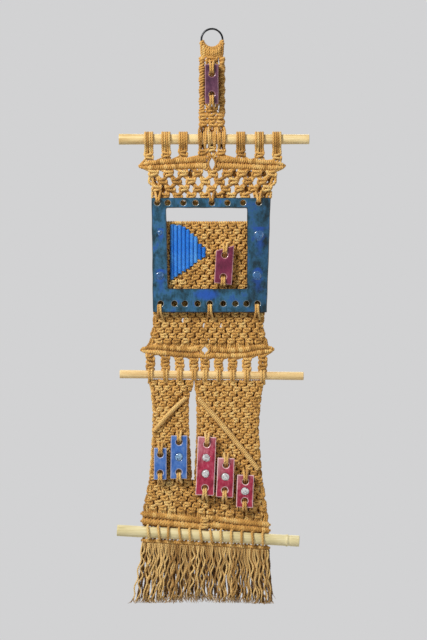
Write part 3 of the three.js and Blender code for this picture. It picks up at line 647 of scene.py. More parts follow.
def neck_cords(loom):
    """The first twelve cords, from the ring to the foot of the neck."""
    for i in range(12):
        x = 4.7 * (i // 2 - 2.5) + (1.35 if i % 2 else -1.35)
        below = RING_Z - math.sqrt(12.7 ** 2 - min(12.2, abs(x)) ** 2)
        loom.go(i, [(x, -2.6, below - 0.5), (x, -4.0, below - 3.2), (x * 0.98, -2.2, below - 7.0),
                    (x * 0.96, -0.8, min(below - 9, RING_Z - 20))])
    plaque_top, foot = high("neck_plaque")[2], low("neck_plaque")[2]
    panel_top = high("neck_knot_panel")[2]
    sennit(loom, [0, 1, 2, 3], -SENNIT_X, plaque_top + 9, panel_top + 1.5, 1)
    sennit(loom, [8, 9, 10, 11], SENNIT_X, plaque_top + 9, panel_top + 1.5, -1)
    square_knot(loom, [4, 5, 6, 7], 0, plaque_top + 6.5, wide=1.45)
    for cord, x in ((4, -7.8), (5, -3.2), (6, 3.2), (7, 7.8)):
        loom.go(cord, [(x * 0.85, -0.6, plaque_top + 1.5), (x, 0.8, plaque_top - 5),
                       (x, 1.4, plaque_top - 20), (x, 0.8, foot + 5), (x * 0.85, -0.4, foot - 1)])
    square_knot(loom, [4, 5, 6, 7], -0.2, foot - 5.4, wide=1.4)
    for z in (panel_top - 3.4, panel_top - 11.4):
        for g, x in enumerate(PANEL_X):
            square_knot(loom, four(g), x, z, mirror=g == 1, wide=0.97)


# ---------------------------------------------------------------- the top dowel and the upper band
SIDE_GROUPS = {0: -76, 1: -55.4, 2: -34.6, 6: 34.6, 7: 57, 8: 78}
NECK_GROUPS = {3: -11.4, 4: 0.0, 5: 11.4}
BAND_Z = high("upper_band_lower_row")[2] - (-10.6)


class Band:
    """Two rows of hitches, one above the other, which part round an eye.

    Heights are over the band's place."""

    def __init__(self, z, ends, eye, parting, top, middle, foot):
        self.z, self.ends, self.eye, self.parting = z, ends, eye, parting
        self.top, self.middle, self.foot = along(top), along(middle), along(foot)

    def part(self, x):
        """How far the rows are apart at x, as heights above and below."""
        at, rise, half_wide, half_tall = self.eye
        reach = max(0.0, 1 - (abs(x - at) / (half_wide * 1.7)) ** 2) ** 0.5
        middle = self.middle(x)
        return (middle + (rise + half_tall - middle) * reach, middle + (rise - half_tall - middle) * reach)

    def row(self, side, upper):
        inner = 0.4 if upper else self.parting
        first, last = (self.ends[0], self.eye[0] - inner) if side < 0 else (self.eye[0] + inner, self.ends[1])

        def place(share):
            x = first + (last - first) * share
            edge = self.part(x)[0 if upper else 1]
            outer = self.top(x) if upper else self.foot(x)
            return x, self.z + (edge + outer) / 2, max(1.5, abs(outer - edge) / 2 - 0.15)
        return place


UPPER_BAND = Band(
    BAND_Z, (-86, 86), (0, -11.2, 3.6, 8.0), 2.0,
    [(-88, -11.5), (-74.8, -6.7), (-39.6, -4.0), (-15.8, -1.8), (-7, -0.2), (0, 2.8), (7, -0.2), (15.8, -1.8),
     (39.6, -4.0), (74.8, -6.7), (88, -11)],
    [(-88, -14), (-74.8, -12.9), (-39.6, -11), (-8, -9.8), (0, -10.6), (8, -9.8), (39.6, -11), (74.8, -12.9),
     (88, -13.6)],
    [(-88, -16.6), (-74.8, -19.6), (-39.6, -18.2), (-12, -17.6), (0, -23), (12, -17.6), (39.6, -18.2),
     (74.8, -20), (88, -16.4)])


def round_dowel(x, z, radius, first, last, count, slide=0.0):
    """Points round a dowel, from angle first to angle last in degrees; 0 is the front and 90 the top."""
    reach = radius + CORD_RADIUS
    angles = [math.radians(a) for a in np.linspace(first, last, count)]
    return [(x + slide * k / (count - 1), -reach * math.cos(a), z + reach * math.sin(a))
            for k, a in enumerate(angles)]


def top_hitches(loom):
    for group, x in SIDE_GROUPS.items():
        for k in range(GROUP):
            at = x + (k - 1.5) * 2.72
            loom.go(GROUP * group + k, [(at, 2.0, TOP_Z - TOP_RADIUS - 4)])
            loom.go(GROUP * group + k, round_dowel(at, TOP_Z, TOP_RADIUS, 235, -50, 13))
            loom.go(GROUP * group + k, [(x + (k - 1.5) * 2.5, -1.8, TOP_Z - TOP_RADIUS - 2.4)])
        square_knot(loom, four(group), x, BAND_Z + UPPER_BAND.top(x) + 4.6,
                    mirror=group % 2 == 0, wide=1.12)


def centre_hitches(loom):
    """The neck's cords, past the top dowel: the outer two of each group go once round it."""
    for group, x in NECK_GROUPS.items():
        base = GROUP * group
        for k, inward in ((0, 1), (3, -1)):
            at = x + (k - 1.5) * 2.8
            loom.go(base + k, [(at, -4.5, TOP_Z + TOP_RADIUS + 3.4)])
            loom.go(base + k, round_dowel(at, TOP_Z, TOP_RADIUS, 50, -310 - 40, 19, 2.6 * inward))
            loom.go(base + k, [(at + 2.6 * inward * 0.6, -3.4, TOP_Z - TOP_RADIUS - 1.4)])
        for k in (1, 2):
            at = x + (k - 1.5) * 2.6
            loom.go(base + k, [(at, 3.0, TOP_Z + TOP_RADIUS + 3.4)])
            loom.go(base + k, round_dowel(at, TOP_Z, TOP_RADIUS, 130, 230, 6))
            loom.go(base + k, [(at, 2.6, TOP_Z - TOP_RADIUS - 2.2)])


def eye_rim(strands, band):
    """The cords that line the eye, on both sides of it."""
    x, rise, wide, tall = band.eye
    for side in (-1, 1):
        for out, deep in ((0.9, -1.7), (1.9, 0.7)):
            points = []
            for a in np.linspace(-1.15, 1.15, 12):
                across = (wide + out) * math.cos(a * 1.25) ** 2 * 0.55 + (wide + out) * 0.45 * math.cos(a)
                points.append((x + side * across, deep, band.z + rise + (tall + out) * math.sin(a)))
            strands.add(points, radius=1.35)


def leader(strands, band, side):
    """The cord that leads two rows: out along one, round the tip and back along the other."""
    order = np.linspace(0, 1, 16)[::-side]
    upper, lower = ([band.row(side, up)(s)[:2] for s in order[::-1]] for up in (True, False))
    tip = band.ends[0] - 2.4 if side < 0 else band.ends[1] + 2.4
    turn = [(tip, 0, band.z + band.middle(tip))]
    strands.add([(x, 0, z) for x, z in upper] + turn + [(x, 0, z) for x, z in lower[::-1]], radius=1.3)


# ---------------------------------------------------------------- putting pieces on bodies
def put(piece, body, slot, *nodes):
    if isinstance(body, tuple):
        first, second, start, end = body
        tuple(np.array(start) * MM)
        tuple(np.array(end) * MM)
        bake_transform(piece)
    else:
        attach(piece, body)
    if nodes:
        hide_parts(*nodes)


def cordwork(strands, name, body, *nodes, material=JUTE):
    """Puts strands on a body as one piece of jute."""
    put(strands.build(name, material), body, "jute", *nodes)


BACK_PAINTED_SHADE_TONE = -0.4  # darker tone of the cords along the back of the rows: painted shade
DENSE_CORDS = 52  # in the tight nets, chosen
DENSE = {"wide": 1.17, "tall": 0.86}
DENSE_RADIUS = 1.47
DENSE_SIDES = 10  # fewer than elsewhere, as there are more of these cords
LEFT_HALF, RIGHT_HALF = list(range(STRANDS // 2)), list(range(STRANDS // 2, STRANDS))
EVERY = list(range(STRANDS))


def line_behind(strands, first, last, height, radius=2.0):
    """A cord along the back of the cordwork, at a height for each x, painted dark as shade behind the rows.
    """
    strands.add([(x, 2.2, height(x)) for x in np.linspace(first, last, 24)], radius=radius, tone=BACK_PAINTED_SHADE_TONE)


def band(loom, shape, name, nodes):
    """Both rows of a band, a piece each.

    The left half's leading cord goes with the row above, the right half's with the row below."""
    for upper, end, node in ((True, "_top", nodes[0]), (False, "_foot", nodes[1])):
        strands = Strands(1.36)
        for half, side in ((LEFT_HALF, -1), (RIGHT_HALF, 1)):
            hitch_row(loom, half, shape.row(side, upper))
        loom.cut(strands, ends=None)
        if upper:
            x, rise, wide, _ = shape.eye
            for cord in EVERY:
                at = loom.paths[cord][-1]
                if abs(at[0] - x) < wide + 3:
                    side = -1 if cord in LEFT_HALF else 1
                    loom.go(cord, [(x + side * (wide + 2.6), 1.2, shape.z + rise)])
        else:
            eye_rim(strands, shape)
            x, _, wide, _ = shape.eye
            for first, last in ((shape.ends[0] + 3, x - wide - 2.5), (x + wide + 2.5, shape.ends[1] - 3)):
                line_behind(strands, first, last, lambda x: shape.z + shape.middle(x), 1.6)
        leader(strands, shape, -1 if upper else 1)
        cordwork(strands, name + end, "upper", node)


def weave_upper():
    put(ring_piece(), "ring", "steel", "hanging_ring")
    put(ring_hitches(), "ring_cords", "jute", "ring_hitches")

    neck = Loom(12)
    neck_cords(neck)
    strands = Strands(1.5)
    neck.cut(strands)
    # Dark cords behind the neck panel, which fill its gaps with painted shade.
    for x in (-6.2, -2.2, 2.2, 6.2):
        strands.add([(x, 3.2, z) for z in np.linspace(NECK_FOLD_Z - 3.4, low("neck_knot_panel")[2] + 8, 9)
                     if z > high("neck_knot_panel")[2] - 6], radius=1.4, tone=PAINTED_SHADE_TONE)
    put(strands.build("neck_cordwork", JUTE),
        ("ring_cords", "neck", (0, 0, NECK_FOLD_Z + 2.4), (0, 0, NECK_FOLD_Z - 2.4)), "jute",
        "neck_top_knot", "neck_left_sennit", "neck_right_sennit", "neck_knot_panel")

    loom = Loom(STRANDS)
    for i in range(12):
        loom.paths[12 + i] = neck.paths[i]
    centre_hitches(loom)
    for group, x in NECK_GROUPS.items():
        square_knot(loom, four(group), x,
                    BAND_Z + UPPER_BAND.top(x) + 3.4)
    strands = Strands()
    loom.cut(strands)
    reach = TOP_RADIUS * 0.9
    put(strands.build("centre_hitches", JUTE),
        ("neck", "upper", (0, 0, TOP_Z + reach), (0, 0, TOP_Z - reach)), "jute",
        "top_hitch_centre_1", "top_hitch_centre_2", "top_hitch_centre_3")

    top_hitches(loom)
    strands = Strands()
    for group in SIDE_GROUPS:
        for k in range(GROUP):
            path = loom.paths[GROUP * group + k]
            strands.add(path, ends=END_RADIUS)
            loom.paths[GROUP * group + k] = path[-1:]
        x = SIDE_GROUPS[group]
        # Dark cords behind each group's gaps, from the dowel down to the band: painted shade.
        for at in (-2.6, 0, 2.6):
            points = [(x + at, 2.6, TOP_Z - TOP_RADIUS - 3.2),
                      (x + at * 0.9, 2.2, BAND_Z + UPPER_BAND.top(x) + 2)]
            strands.add(points, radius=1.4, tone=PAINTED_SHADE_TONE)
    sides = [f"top_hitch_{side}_{i}" for side in ("left", "right") for i in (1, 2, 3)]
    cordwork(strands, "side_hitches", "upper", *sides)

    band(loom, UPPER_BAND, "upper_band", ("upper_band_upper_row", "upper_band_lower_row"))
    return loom


NET_LEFT = along([(-168, -80), (-203, -72.5), (-216, -69)])
NET_RIGHT = along([(-168, 82), (-203, 71), (-216, 67)])
FRAME_TIES_TOP = (-64.9, -0.6, 56.0)
FRAME_TIES_FOOT = (-63.0, -2.6, 54.0)


def frame_tie(strands, x, hole_z, edge_z, away):
    """Two cords from the cordwork, over the frame's edge and in through a hole."""
    front = FRAME_FRONT - CORD_RADIUS - 0.2
    for side in (-1.25, 1.25):
        strands.add([(x + side * 2.8, -1.6, edge_z + away * 9), (x + side * 2.2, -3.8, edge_z + away * 5),
                     (x + side * 1.4, front + 2.6, edge_z + away * 1.8),
                     (x + side * 1.1, front, edge_z - away * 0.8),
                     (x + side, front, hole_z + away * 3.2), (x + side, front + 1.8, hole_z + away * 1.9),
                     (x + side * 0.9, -4.4, hole_z + away * 1.4), (x + side, -1.5, hole_z + away * 1.6)],
                    radius=1.42)


def weave_net(loom):
    rows = [-172.6, -181.8, -190.9, -199.8]
    strands = Strands(1.66)
    net(loom, EVERY, rows, NET_LEFT, NET_RIGHT, wide=1.06, tall=1.05, backing=strands, closed=0.3)
    foot = FRAME_TOP - 7.0
    hitch_row(loom, EVERY, lambda s: (-70 + 137.5 * s, foot, 3.4), y=0.4)
    loom.cut(strands)
    strands.add([(x, 0.4, foot) for x in np.linspace(-71, 69, 20)])
    for x in FRAME_TIES_TOP:
        frame_tie(strands, x, FRAME_TOP - 6.2, FRAME_TOP, 1)
    cordwork(strands, "upper_knot_net", "upper", "upper_net")


def side_sennits():
    """Flat chains of square knots behind the frame's side rails."""
    for side, node in (("left", "back_sennit_left"), ("right", "back_sennit_right")):
        loom = Loom(4)
        x = centre(node)[0]
        top, foot = high(node)[2] + 1, low(node)[2]
        for k in range(4):
            loom.go(k, [(x + (k - 1.5) * 2.5, 0, top)])
        for z in np.arange(top - 4.6, foot + 3, -7.9):
            square_knot(loom, range(4), x, z)
        for k in range(4):
            loom.go(k, [(x + (k - 1.5) * 2.5, 0, foot)])
        strands = Strands(1.5)
        loom.cut(strands)
        cordwork(strands, "side_sennit_" + side, "upper", node)


# ---------------------------------------------------------------- the inner panel
TRIANGLE_LEFT, TRIANGLE_RIGHT = low("blue_triangle")[0], high("blue_triangle")[0]
TRIANGLE_TOP = high("blue_triangle")[2]
RIBS = 9
TRIANGLE_HEAD = along([(0, 0.0), (0.3, 1.0), (0.45, 5.0), (0.72, 15.5), (0.84, 25.0), (1, 29.5)])
TRIANGLE_TAIL = along([(0, 68.0), (0.25, 60.5), (0.5, 54.0), (0.8, 43.5), (1, 38.0)])


def in_triangle(x, z):
    share = (x - TRIANGLE_LEFT) / (TRIANGLE_RIGHT - TRIANGLE_LEFT)
    if not -0.3 < share < 1.1:
        return False
    share = min(1, max(0, share))
    return TRIANGLE_TOP - TRIANGLE_HEAD(share) + 4 > z > TRIANGLE_TOP - TRIANGLE_TAIL(share) - 4


def inner_cordwork():
    left, right = low("inner_panel")[0], high("inner_panel")[0]
    top, foot = high("inner_panel")[2], low("inner_panel")[2]
    cords = list(range(40))
    loom = Loom(len(cords))
    place = lambda i: left + (right - left) * (i + 0.5) / len(cords)
    for i in cords:
        loom.go(i, [(place(i), 0, top - 1)])
    hitch_row(loom, cords, lambda s: (left + (right - left) * s, top - 2.4, 2.1), loops_each=1)
    strands = Strands(DENSE_RADIUS, DENSE_SIDES)
    net(loom, cords, np.arange(top - 7.4, foot + 2, -6.1), lambda z: left + 0.5, lambda z: right - 0.5,
        sunk=in_triangle, backing=strands, **DENSE)
    for i in cords:
        loom.go(i, [(place(i), 0, foot)])
    loom.cut(strands)
    strands.add([(x, 0, top - 2.4) for x in np.linspace(left, right, 12)], radius=1.6)
    cordwork(strands, "inner_knot_panel", "upper", "inner_panel")


def blue_weave():
    strands = Strands(0.78)
    pitch = (TRIANGLE_RIGHT - TRIANGLE_LEFT) / RIBS
    for rib in range(RIBS):
        share = (rib + 0.35) / RIBS
        x = TRIANGLE_LEFT + pitch * (rib + 0.5)
        top = TRIANGLE_TOP - TRIANGLE_HEAD(share) - 0.5
        foot = TRIANGLE_TOP - TRIANGLE_TAIL(share) + 0.5
        turns = (top - foot) / 1.5
        t = np.linspace(0, 1, int(turns * 8))
        angle = 2 * np.pi * turns * t + rng.uniform(0, 6)
        strands.add(np.column_stack([x + (pitch / 2 - 0.5) * np.cos(angle), -1.9 - 1.7 * np.sin(angle),
                                     top + (foot - top) * t]), sides=8, step=0.8, depth=0.05, rounds=1)
    piece = strands.build("blue_ribs", BLUE_CORD)
    put(piece, "upper", "blue_cord", "blue_triangle")


# ---------------------------------------------------------------- the lower net and band
LOW_LEFT = along([(-326, -68), (-339, -71), (-358, -72), (-376, -76)])
LOW_RIGHT = along([(-326, 63), (-339, 64), (-358, 62), (-376, 67.5)])
LOWER_BAND = Band(
    -387.0, (-83.6, 72.4), (-8.6, 2.6, 4.1, 4.3), 0.2,
    [(-85.1, 5.4), (-72, 10), (-53.3, 8.6), (-29.4, 6.6), (-8.6, 10.2), (0, 7.4), (18.2, 5.4), (38.1, 6.4),
     (58, 10.6), (73.9, 6.4)],
    [(-85.1, 2.6), (-69.2, 3.2), (-53.3, 1.8), (-29.4, -0.6), (-5.6, 0), (18.2, -1.4), (38.1, -0.8),
     (58, 3.2), (73.9, 3.4)],
    [(-85.1, -0.2), (-69.2, -3.8), (-53.3, -5.2), (-29.4, -7.4), (-5.6, -8), (18.2, -8), (38.1, -7.4),
     (58, -4.0), (73.9, 0.6)])


def lower_net():
    dense = Loom(DENSE_CORDS)
    top = high("lower_net")[2] - 1
    for i in range(DENSE_CORDS):
        dense.go(i, [(-66 + 127 * (i + 0.5) / DENSE_CORDS, 0, top)])
    strands = Strands(DENSE_RADIUS, DENSE_SIDES)
    rows = np.arange(top - 3.4, -375.0, -6.3)
    net(dense, list(range(DENSE_CORDS)), rows, LOW_LEFT, LOW_RIGHT, backing=strands, closed=0.95, **DENSE)
    first, last = LOWER_BAND.ends
    for i in range(DENSE_CORDS):
        x = first + 4 + (last - first - 8) * (i + 0.5) / DENSE_CORDS
        dense.go(i, [(x, 0.3, LOWER_BAND.z + LOWER_BAND.top(x) - 1.5)])
    dense.cut(strands)
    for rise in (0.6, 4.0):
        line_behind(strands, LOWER_BAND.ends[0] + 11, LOWER_BAND.ends[1] - 9,
                    lambda x: LOWER_BAND.z + LOWER_BAND.top(x) + rise)
    line_behind(strands, -66, 60, lambda x: FRAME_FOOT - 1)
    line_behind(strands, -66, 60, lambda x: FRAME_FOOT - 5)
    for x in FRAME_TIES_FOOT:
        frame_tie(strands, x, FRAME_FOOT + 10.5, FRAME_FOOT, -1)
    cordwork(strands, "lower_knot_net", "upper", "lower_net")
    loom = Loom(STRANDS)
    band(loom, LOWER_BAND, "lower_band", ("lower_band_upper_row", "lower_band_lower_row"))
    return loom


# ---------------------------------------------------------------- the middle dowel
MIDDLE_GROUPS = [-74, -56, -39, -21.6, -8.4, 8, 24.6, 41.6, 61]


def middle_hitches(loom):
    for group, x in enumerate(MIDDLE_GROUPS):
        head, foot = LOWER_BAND.z + LOWER_BAND.foot(x) + 0.4, middle_axis(x) + MIDDLE_RADIUS - 0.6
        for share in (0.26, 0.74):
            mirror = (group % 2 == 0) == (share < 0.5)
            square_knot(loom, four(group), x, head + (foot - head) * share, mirror=mirror,
                        tall=(head - foot) / 4.3 / KNOT_HALF)
    strands = Strands(1.62)
    loom.cut(strands)
    cordwork(strands, "middle_knots", "upper")
    for group, x in enumerate(MIDDLE_GROUPS):
        z = middle_axis(x)
        in_front, at_back = (58, -60), (125, 240)
        for k, at, (first, last) in ((0, -1.5, in_front), (3, 1.5, in_front), (1, -1.5, at_back),
                                     (2, 1.5, at_back)):
            loom.go(GROUP * group + k, round_dowel(x + at, z, MIDDLE_RADIUS, first, last, 7))
            loom.go(GROUP * group + k, [(x + at * 1.4, 0.4, z - MIDDLE_RADIUS - 5)])
    strands = Strands(1.45)
    loom.cut(strands)
    reach = MIDDLE_RADIUS * 0.9
    put(strands.build("middle_hitches", PALE_JUTE),
        ("upper", "lower", (0, 0, MIDDLE_Z + reach), (0, 0, MIDDLE_Z - reach)), "jute")


# ---------------------------------------------------------------- the two panels
LEFT_EDGE = along([(-420, -77), (-430, -74.6), (-456, -72), (-492, -72.6), (-528, -75), (-550, -77.5),
                   (-564, -79.6), (-588, -85)])
RIGHT_EDGE = along([(-420, 64), (-430, 61), (-456, 58.2), (-480, 56.6), (-528, 60), (-550, 62.4), (-564, 65),
                    (-588, 69)])
SLIT_LEFT = along([(-424, -22), (-432, -24), (-441, -27.4), (-473, -27.6), (-500, -26), (-547, -23)])
SLIT_RIGHT = along([(-424, -21.4), (-432, -21), (-445, -19.6), (-473, -18.6), (-500, -20), (-547, -22.4)])
LEFT_RIDGE = [(-31, 27), (-70, 67.5)]
RIGHT_RIDGE = [(-16.5, 28), (55.5, 113.5)]
ROW_PITCH = 6.3


def ridge_height(ridge):
    (x0, d0), (x1, d1) = ridge
    return lambda x: MIDDLE_Z - (d0 + (d1 - d0) * (x - x0) / (x1 - x0))


def beside_ridge(ridge):
    line = ridge_height(ridge)
    x0, x1 = sorted((ridge[0][0], ridge[1][0]))
    return lambda x, z: x0 - 2 < x < x1 + 2 and abs(z - line(x)) < 5.4


def ridge_piece(name, ridge, node, radius):
    """A row of hitches along a slope, standing proud of the knots beside it."""
    strands = Strands(1.25)
    (x0, d0), (x1, d1) = ridge
    reach = np.linspace(0, 1, 12)
    bow = 2.2 * np.sin(np.pi * reach)
    points = [(x0 + (x1 - x0) * r, -2.4 - radius, MIDDLE_Z - (d0 + (d1 - d0) * r) + b)
              for r, b in zip(reach, bow)]
    coil(strands, points, pitch=2.1, radius=radius, end_radius=radius * 0.85, depth=0.08, tone=0.9)
    strands.add(points)
    cordwork(strands, name, "lower", node, material=PALE_JUTE)


def panels():
    loom = Loom(DENSE_CORDS)
    left, right = list(range(20)), list(range(20, DENSE_CORDS))
    for cords, x0, x1 in ((left, -77, -22), (right, -21, 64)):
        for k, cord in enumerate(cords):
            x = x0 + (x1 - x0) * (k + 0.5) / len(cords)
            loom.go(cord, [(x, 0.4, middle_axis(x) - MIDDLE_RADIUS - 0.8)])
    rows = np.arange(MIDDLE_Z - 10.4, MIDDLE_Z - 127, -ROW_PITCH)
    for name, cords, nodes, edges, ridge in (
            ("left_knot_panel", left, ("left_panel", "left_lower_panel"), (LEFT_EDGE, SLIT_LEFT), LEFT_RIDGE),
            ("right_knot_panel", right, ("right_panel", "right_lower_panel"), (SLIT_RIGHT, RIGHT_EDGE),
             RIGHT_RIDGE)):
        strands = Strands(DENSE_RADIUS, DENSE_SIDES)
        net(loom, cords, rows, *edges, slope=MIDDLE_SLOPE, sunk=beside_ridge(ridge), backing=strands, **DENSE)
        for cord in cords:
            strands.add(loom.paths[cord], ends=END_RADIUS)
            loom.paths[cord] = loom.paths[cord][-1:]
        cordwork(strands, name, "lower", *nodes)
    ridge_piece("left_ridge", LEFT_RIDGE, "left_diagonal", 1.8)
    ridge_piece("right_ridge", RIGHT_RIDGE, "right_diagonal", 2.3)
    return loom


# ---------------------------------------------------------------- the foot
FOOT_LEFT, FOOT_RIGHT = -84.5, 69.0
# Heights of the two rows over the dowel's axis. Both dip where the halves meet.
FOOT_TOP = along([(-86, 21.8), (-22, 18.8), (-9.5, 17.0), (-5, 22.2), (30, 19.4), (70, 17.6)])
FOOT_LOW = along([(-86, 13.0), (-22, 11.0), (-9.5, 10.2), (-5, 13.8), (30, 11.6), (70, 10.8)])


def foot_line(rise, half):
    """A line over or under the bottom dowel. rise is a height over its axis, or gives one for each x."""
    def place(share):
        x = FOOT_LEFT + 0.5 + (FOOT_RIGHT - FOOT_LEFT - 1) * share
        return x, bottom_axis(x) + (rise(x) if callable(rise) else rise), half
    return place


def bottom_cordwork(loom):
    start, last = MIDDLE_Z - 130.5, bottom_axis(0) + 29.4
    count = int((start - last) / 6.0) + 1
    strands = Strands(DENSE_RADIUS * 1.05, DENSE_SIDES)
    left = along([(-540, -76.5), (-564, -80), (-592, -85.5)])
    right = along([(-540, 61.5), (-564, 65.5), (-592, 70)])
    for number, z in enumerate(np.linspace(start, last, count)):
        net(loom, list(range(DENSE_CORDS)), [z], left, right, slope=-0.08 * number / (count - 1), pivot=-8,
            odd=number % 2 == 1, backing=strands, **DENSE)
    for i, path in enumerate(loom.paths):
        x = FOOT_LEFT + 3 + (FOOT_RIGHT - FOOT_LEFT - 6) * (i + 0.5) / DENSE_CORDS
        path.append((x, 0.3, bottom_axis(x) + FOOT_TOP(x) + 0.5))
    loom.cut(strands)
    loom = Loom(STRANDS)
    for above in (3.6, 6.8):
        line_behind(strands, FOOT_LEFT + 2, FOOT_RIGHT - 2, lambda x: bottom_axis(x) + FOOT_TOP(x) + above)
    for share in (0.5, -0.45):
        line_behind(strands, FOOT_LEFT + 1, FOOT_RIGHT - 1, radius=1.7,
                    height=lambda x: bottom_axis(x) + FOOT_LOW(x) + share * (FOOT_TOP(x) - FOOT_LOW(x)))
    middle = Loom(4)
    for rise in (FOOT_TOP, FOOT_LOW):
        square_knot(middle, range(4), -9, bottom_axis(-9) + rise(-9) + 1.2, y=-3.4, wide=0.9, tall=0.85)
    middle.cut(strands)
    cordwork(strands, "bottom_knot_net", "lower", "bottom_net")
    for rise, name, node in ((FOOT_TOP, "bottom_band_top", "bottom_band_upper_row"),
                             (FOOT_LOW, "bottom_band_foot", "bottom_band_lower_row")):
        strands = Strands(1.36)
        line = foot_line(rise, 3.5)
        hitch_row(loom, EVERY, line)
        loom.cut(strands, ends=None)
        strands.add([(line(s)[0], 0, line(s)[1]) for s in np.linspace(-0.014, 1.014, 20)])
        cordwork(strands, name, "lower", node)

    strands = Strands(1.4)
    for i in EVERY:
        x = FOOT_LEFT + 1.5 + (FOOT_RIGHT - FOOT_LEFT - 3) * (i + 0.5) / STRANDS
        z = bottom_axis(x)
        if i % 3 == 1:
            loom.go(i, round_dowel(x - 0.8, z, BOTTOM_RADIUS, 62, -58, 8, rng.uniform(-0.4, 2.6)))
        else:
            loom.go(i, round_dowel(x, z, BOTTOM_RADIUS, 118, 238, 7))
    under = foot_line(-BOTTOM_RADIUS - 3.0, 2.7)
    loom.cut(strands)
    hitch_row(loom, EVERY, under)
    for path in loom.paths:
        strands.add(path, radius=LOOP_CORD)
    strands.add([(under(s)[0], 0, under(s)[1]) for s in np.linspace(-0.01, 1.01, 14)])
    cordwork(strands, "bottom_wraps", "lower", "bottom_hitches")
    return loom


def fringe():
    """Cords whose plies are unlaid: wavy strands that end in splayed fibres, and straighter ones behind. The
    ones behind are painted darker as shade, the front ones lighter as painted light.
    """
    strands = Strands()
    under = foot_line(-BOTTOM_RADIUS - 5.2, 0)
    foot = low("fringe")[2]
    longest = along([(-95, 4.5), (-80, 2.5), (-40, 7), (-10, 7.5), (30, 5), (60, 1.5), (75, 1)])
    middle = (FOOT_LEFT + FOOT_RIGHT) / 2
    for i in range(STRANDS):
        x0, z0, _ = under((i + 0.5) / STRANDS)
        clump = (x0 - middle) * 0.07 + rng.normal(0, 1.2)
        for ply in range(6):
            front = ply % 3 == 0
            phase, wave = rng.uniform(0, 2 * np.pi), rng.uniform(17, 28)
            swing = rng.uniform(1.1, 2.4) if front else rng.uniform(0.2, 0.8)
            lean = clump + rng.normal(0, 2.2 if front else 1.5)
            near, depth = (-1.5, rng.normal(0, 1.0)) if front else (1.2, rng.normal(0, 0.9))
            length = z0 - foot - longest(x0) - abs(rng.normal(0, 3.2))
            points = []
            for s in np.linspace(0, 1, 26):
                turn = phase + 2 * np.pi * (s + 0.1 * math.sin(3 * s + phase)) * length / wave
                grow = min(1, 4 * s)
                points.append((x0 + (ply - 2.5) * 0.74 + lean * s ** 1.3 + swing * grow * math.sin(turn),
                               near + depth * s + 0.5 * swing * grow * math.cos(turn), z0 - length * s))
            # Painted light and shade: the front strands get light values, the rear strands dark ones.
            tone = rng.uniform(0.45, 1.0) if front else rng.uniform(0.05, 0.3)
            radius = rng.uniform(0.9, 1.15) if front else rng.uniform(1.0, 1.25)
            strands.add(points, radius=radius, sides=9, step=1.2, lay=9, depth=0.18, rounds=1, taper=0.25,
                        tone=tone)
            tip = np.array(points[-1])
            drift = unit(tip - np.array(points[-3]))
            for _ in range(6 if front else 3):
                away = rng.normal(0, 1, 3) * np.array([1.5, 0.9, 0.5])
                reach = rng.uniform(3, 8.5)
                fibre = [tip - drift * 9, tip + away * 0.3, tip + drift * reach * 0.5 + away,
                         tip + drift * reach + away * 2.0]
                fibre[-1][2] = max(fibre[-1][2], foot + 0.6)
                strands.add(fibre, radius=rng.uniform(0.28, 0.45), sides=5, step=1.4, depth=0.0, rounds=1,
                            taper=0.6, tone=rng.uniform(0.3, 0.9))
    piece = strands.build("fringe_strands", UNLAID)
    x, _, z = FRINGE_FOLD
    put(piece, ("lower", "fringe", (x, 0, z + 2), (x, 0, z - 4)), "unlaid_jute", "fringe")


# ---------------------------------------------------------------- plaques
TIE_ROOM = 0.5  # between a plaque and its cords, for the plaque to turn in


def plaque_ties():
    ties = {
        "neck_plaque": ("neck", 4.4, 4.4), "inner_plaque": ("upper", 4.6, 1.6),
        "blue_plaque_short": ("lower", 4.6, 4.6), "blue_plaque_tall": ("lower", 4.6, 4.6),
        "red_plaque_tall": ("lower", 4.6, 4.6), "red_plaque_medium": ("lower", 4.6, 4.6),
        "red_plaque_short": ("lower", 4.6, 4.6),
    }
    lean = {j["child"]: j["axis"] for j in frame["joints"] if j["name"].endswith("_turn")}
    insets = {"neck_plaque": 11.6, "inner_plaque": 8.6, "red_plaque_tall": 9.0, "red_plaque_medium": 8.6}
    heights = {"neck_plaque": 47.6, "inner_plaque": 43.4, "blue_plaque_short": 38.4, "blue_plaque_tall": 52.2,
               "red_plaque_tall": 70.2, "red_plaque_medium": 47.2, "red_plaque_short": 39.4}
    for name, (body, top_reach, foot_reach) in ties.items():
        middle = centre(name)
        axis = np.array(lean[name])
        across = np.array([axis[2], 0, -axis[0]])
        half = heights[name] / 2
        hole = half - insets.get(name, 8.2)
        front, back = low(name)[1] - CORD_RADIUS - TIE_ROOM, high(name)[1] + CORD_RADIUS + TIE_ROOM
        strands = Strands()
        # The upper half of the way: height over the plaque's middle, depth, and how far apart the cords are.
        route = [(half + top_reach + 1, -1.4, 2.0), (half + top_reach - 1, -4.6, 1.7),
                 (half + 1.2, front + 1.6, 1.3), (half - 1.2, front, 1.0), (hole + 4.2, front, 1.0),
                 (hole + 2.6, front + 1.8, 1.0),
                 (hole + 1.9, -8.5, 1.0), (hole, back, 1.0), (hole - 4, back, 1.0)]
        route += [(-up, y, wide) for up, y, wide in route[::-1]]
        if foot_reach < 3:
            route[-2:] = [(-half - 1.2, front + 1.6, 1.3), (-half - foot_reach, -6.5, 1.3)]
        for side in (-1.34, 1.34):
            start = np.array([middle[0], 0, middle[2]])
            points = [start + axis * up + across * side * wide + np.array([0, y, 0]) for up, y, wide in route]
            strands.add(points, radius=1.4)
        cordwork(strands, name + "_tie", body, name + "_cords", material=PALE_JUTE)


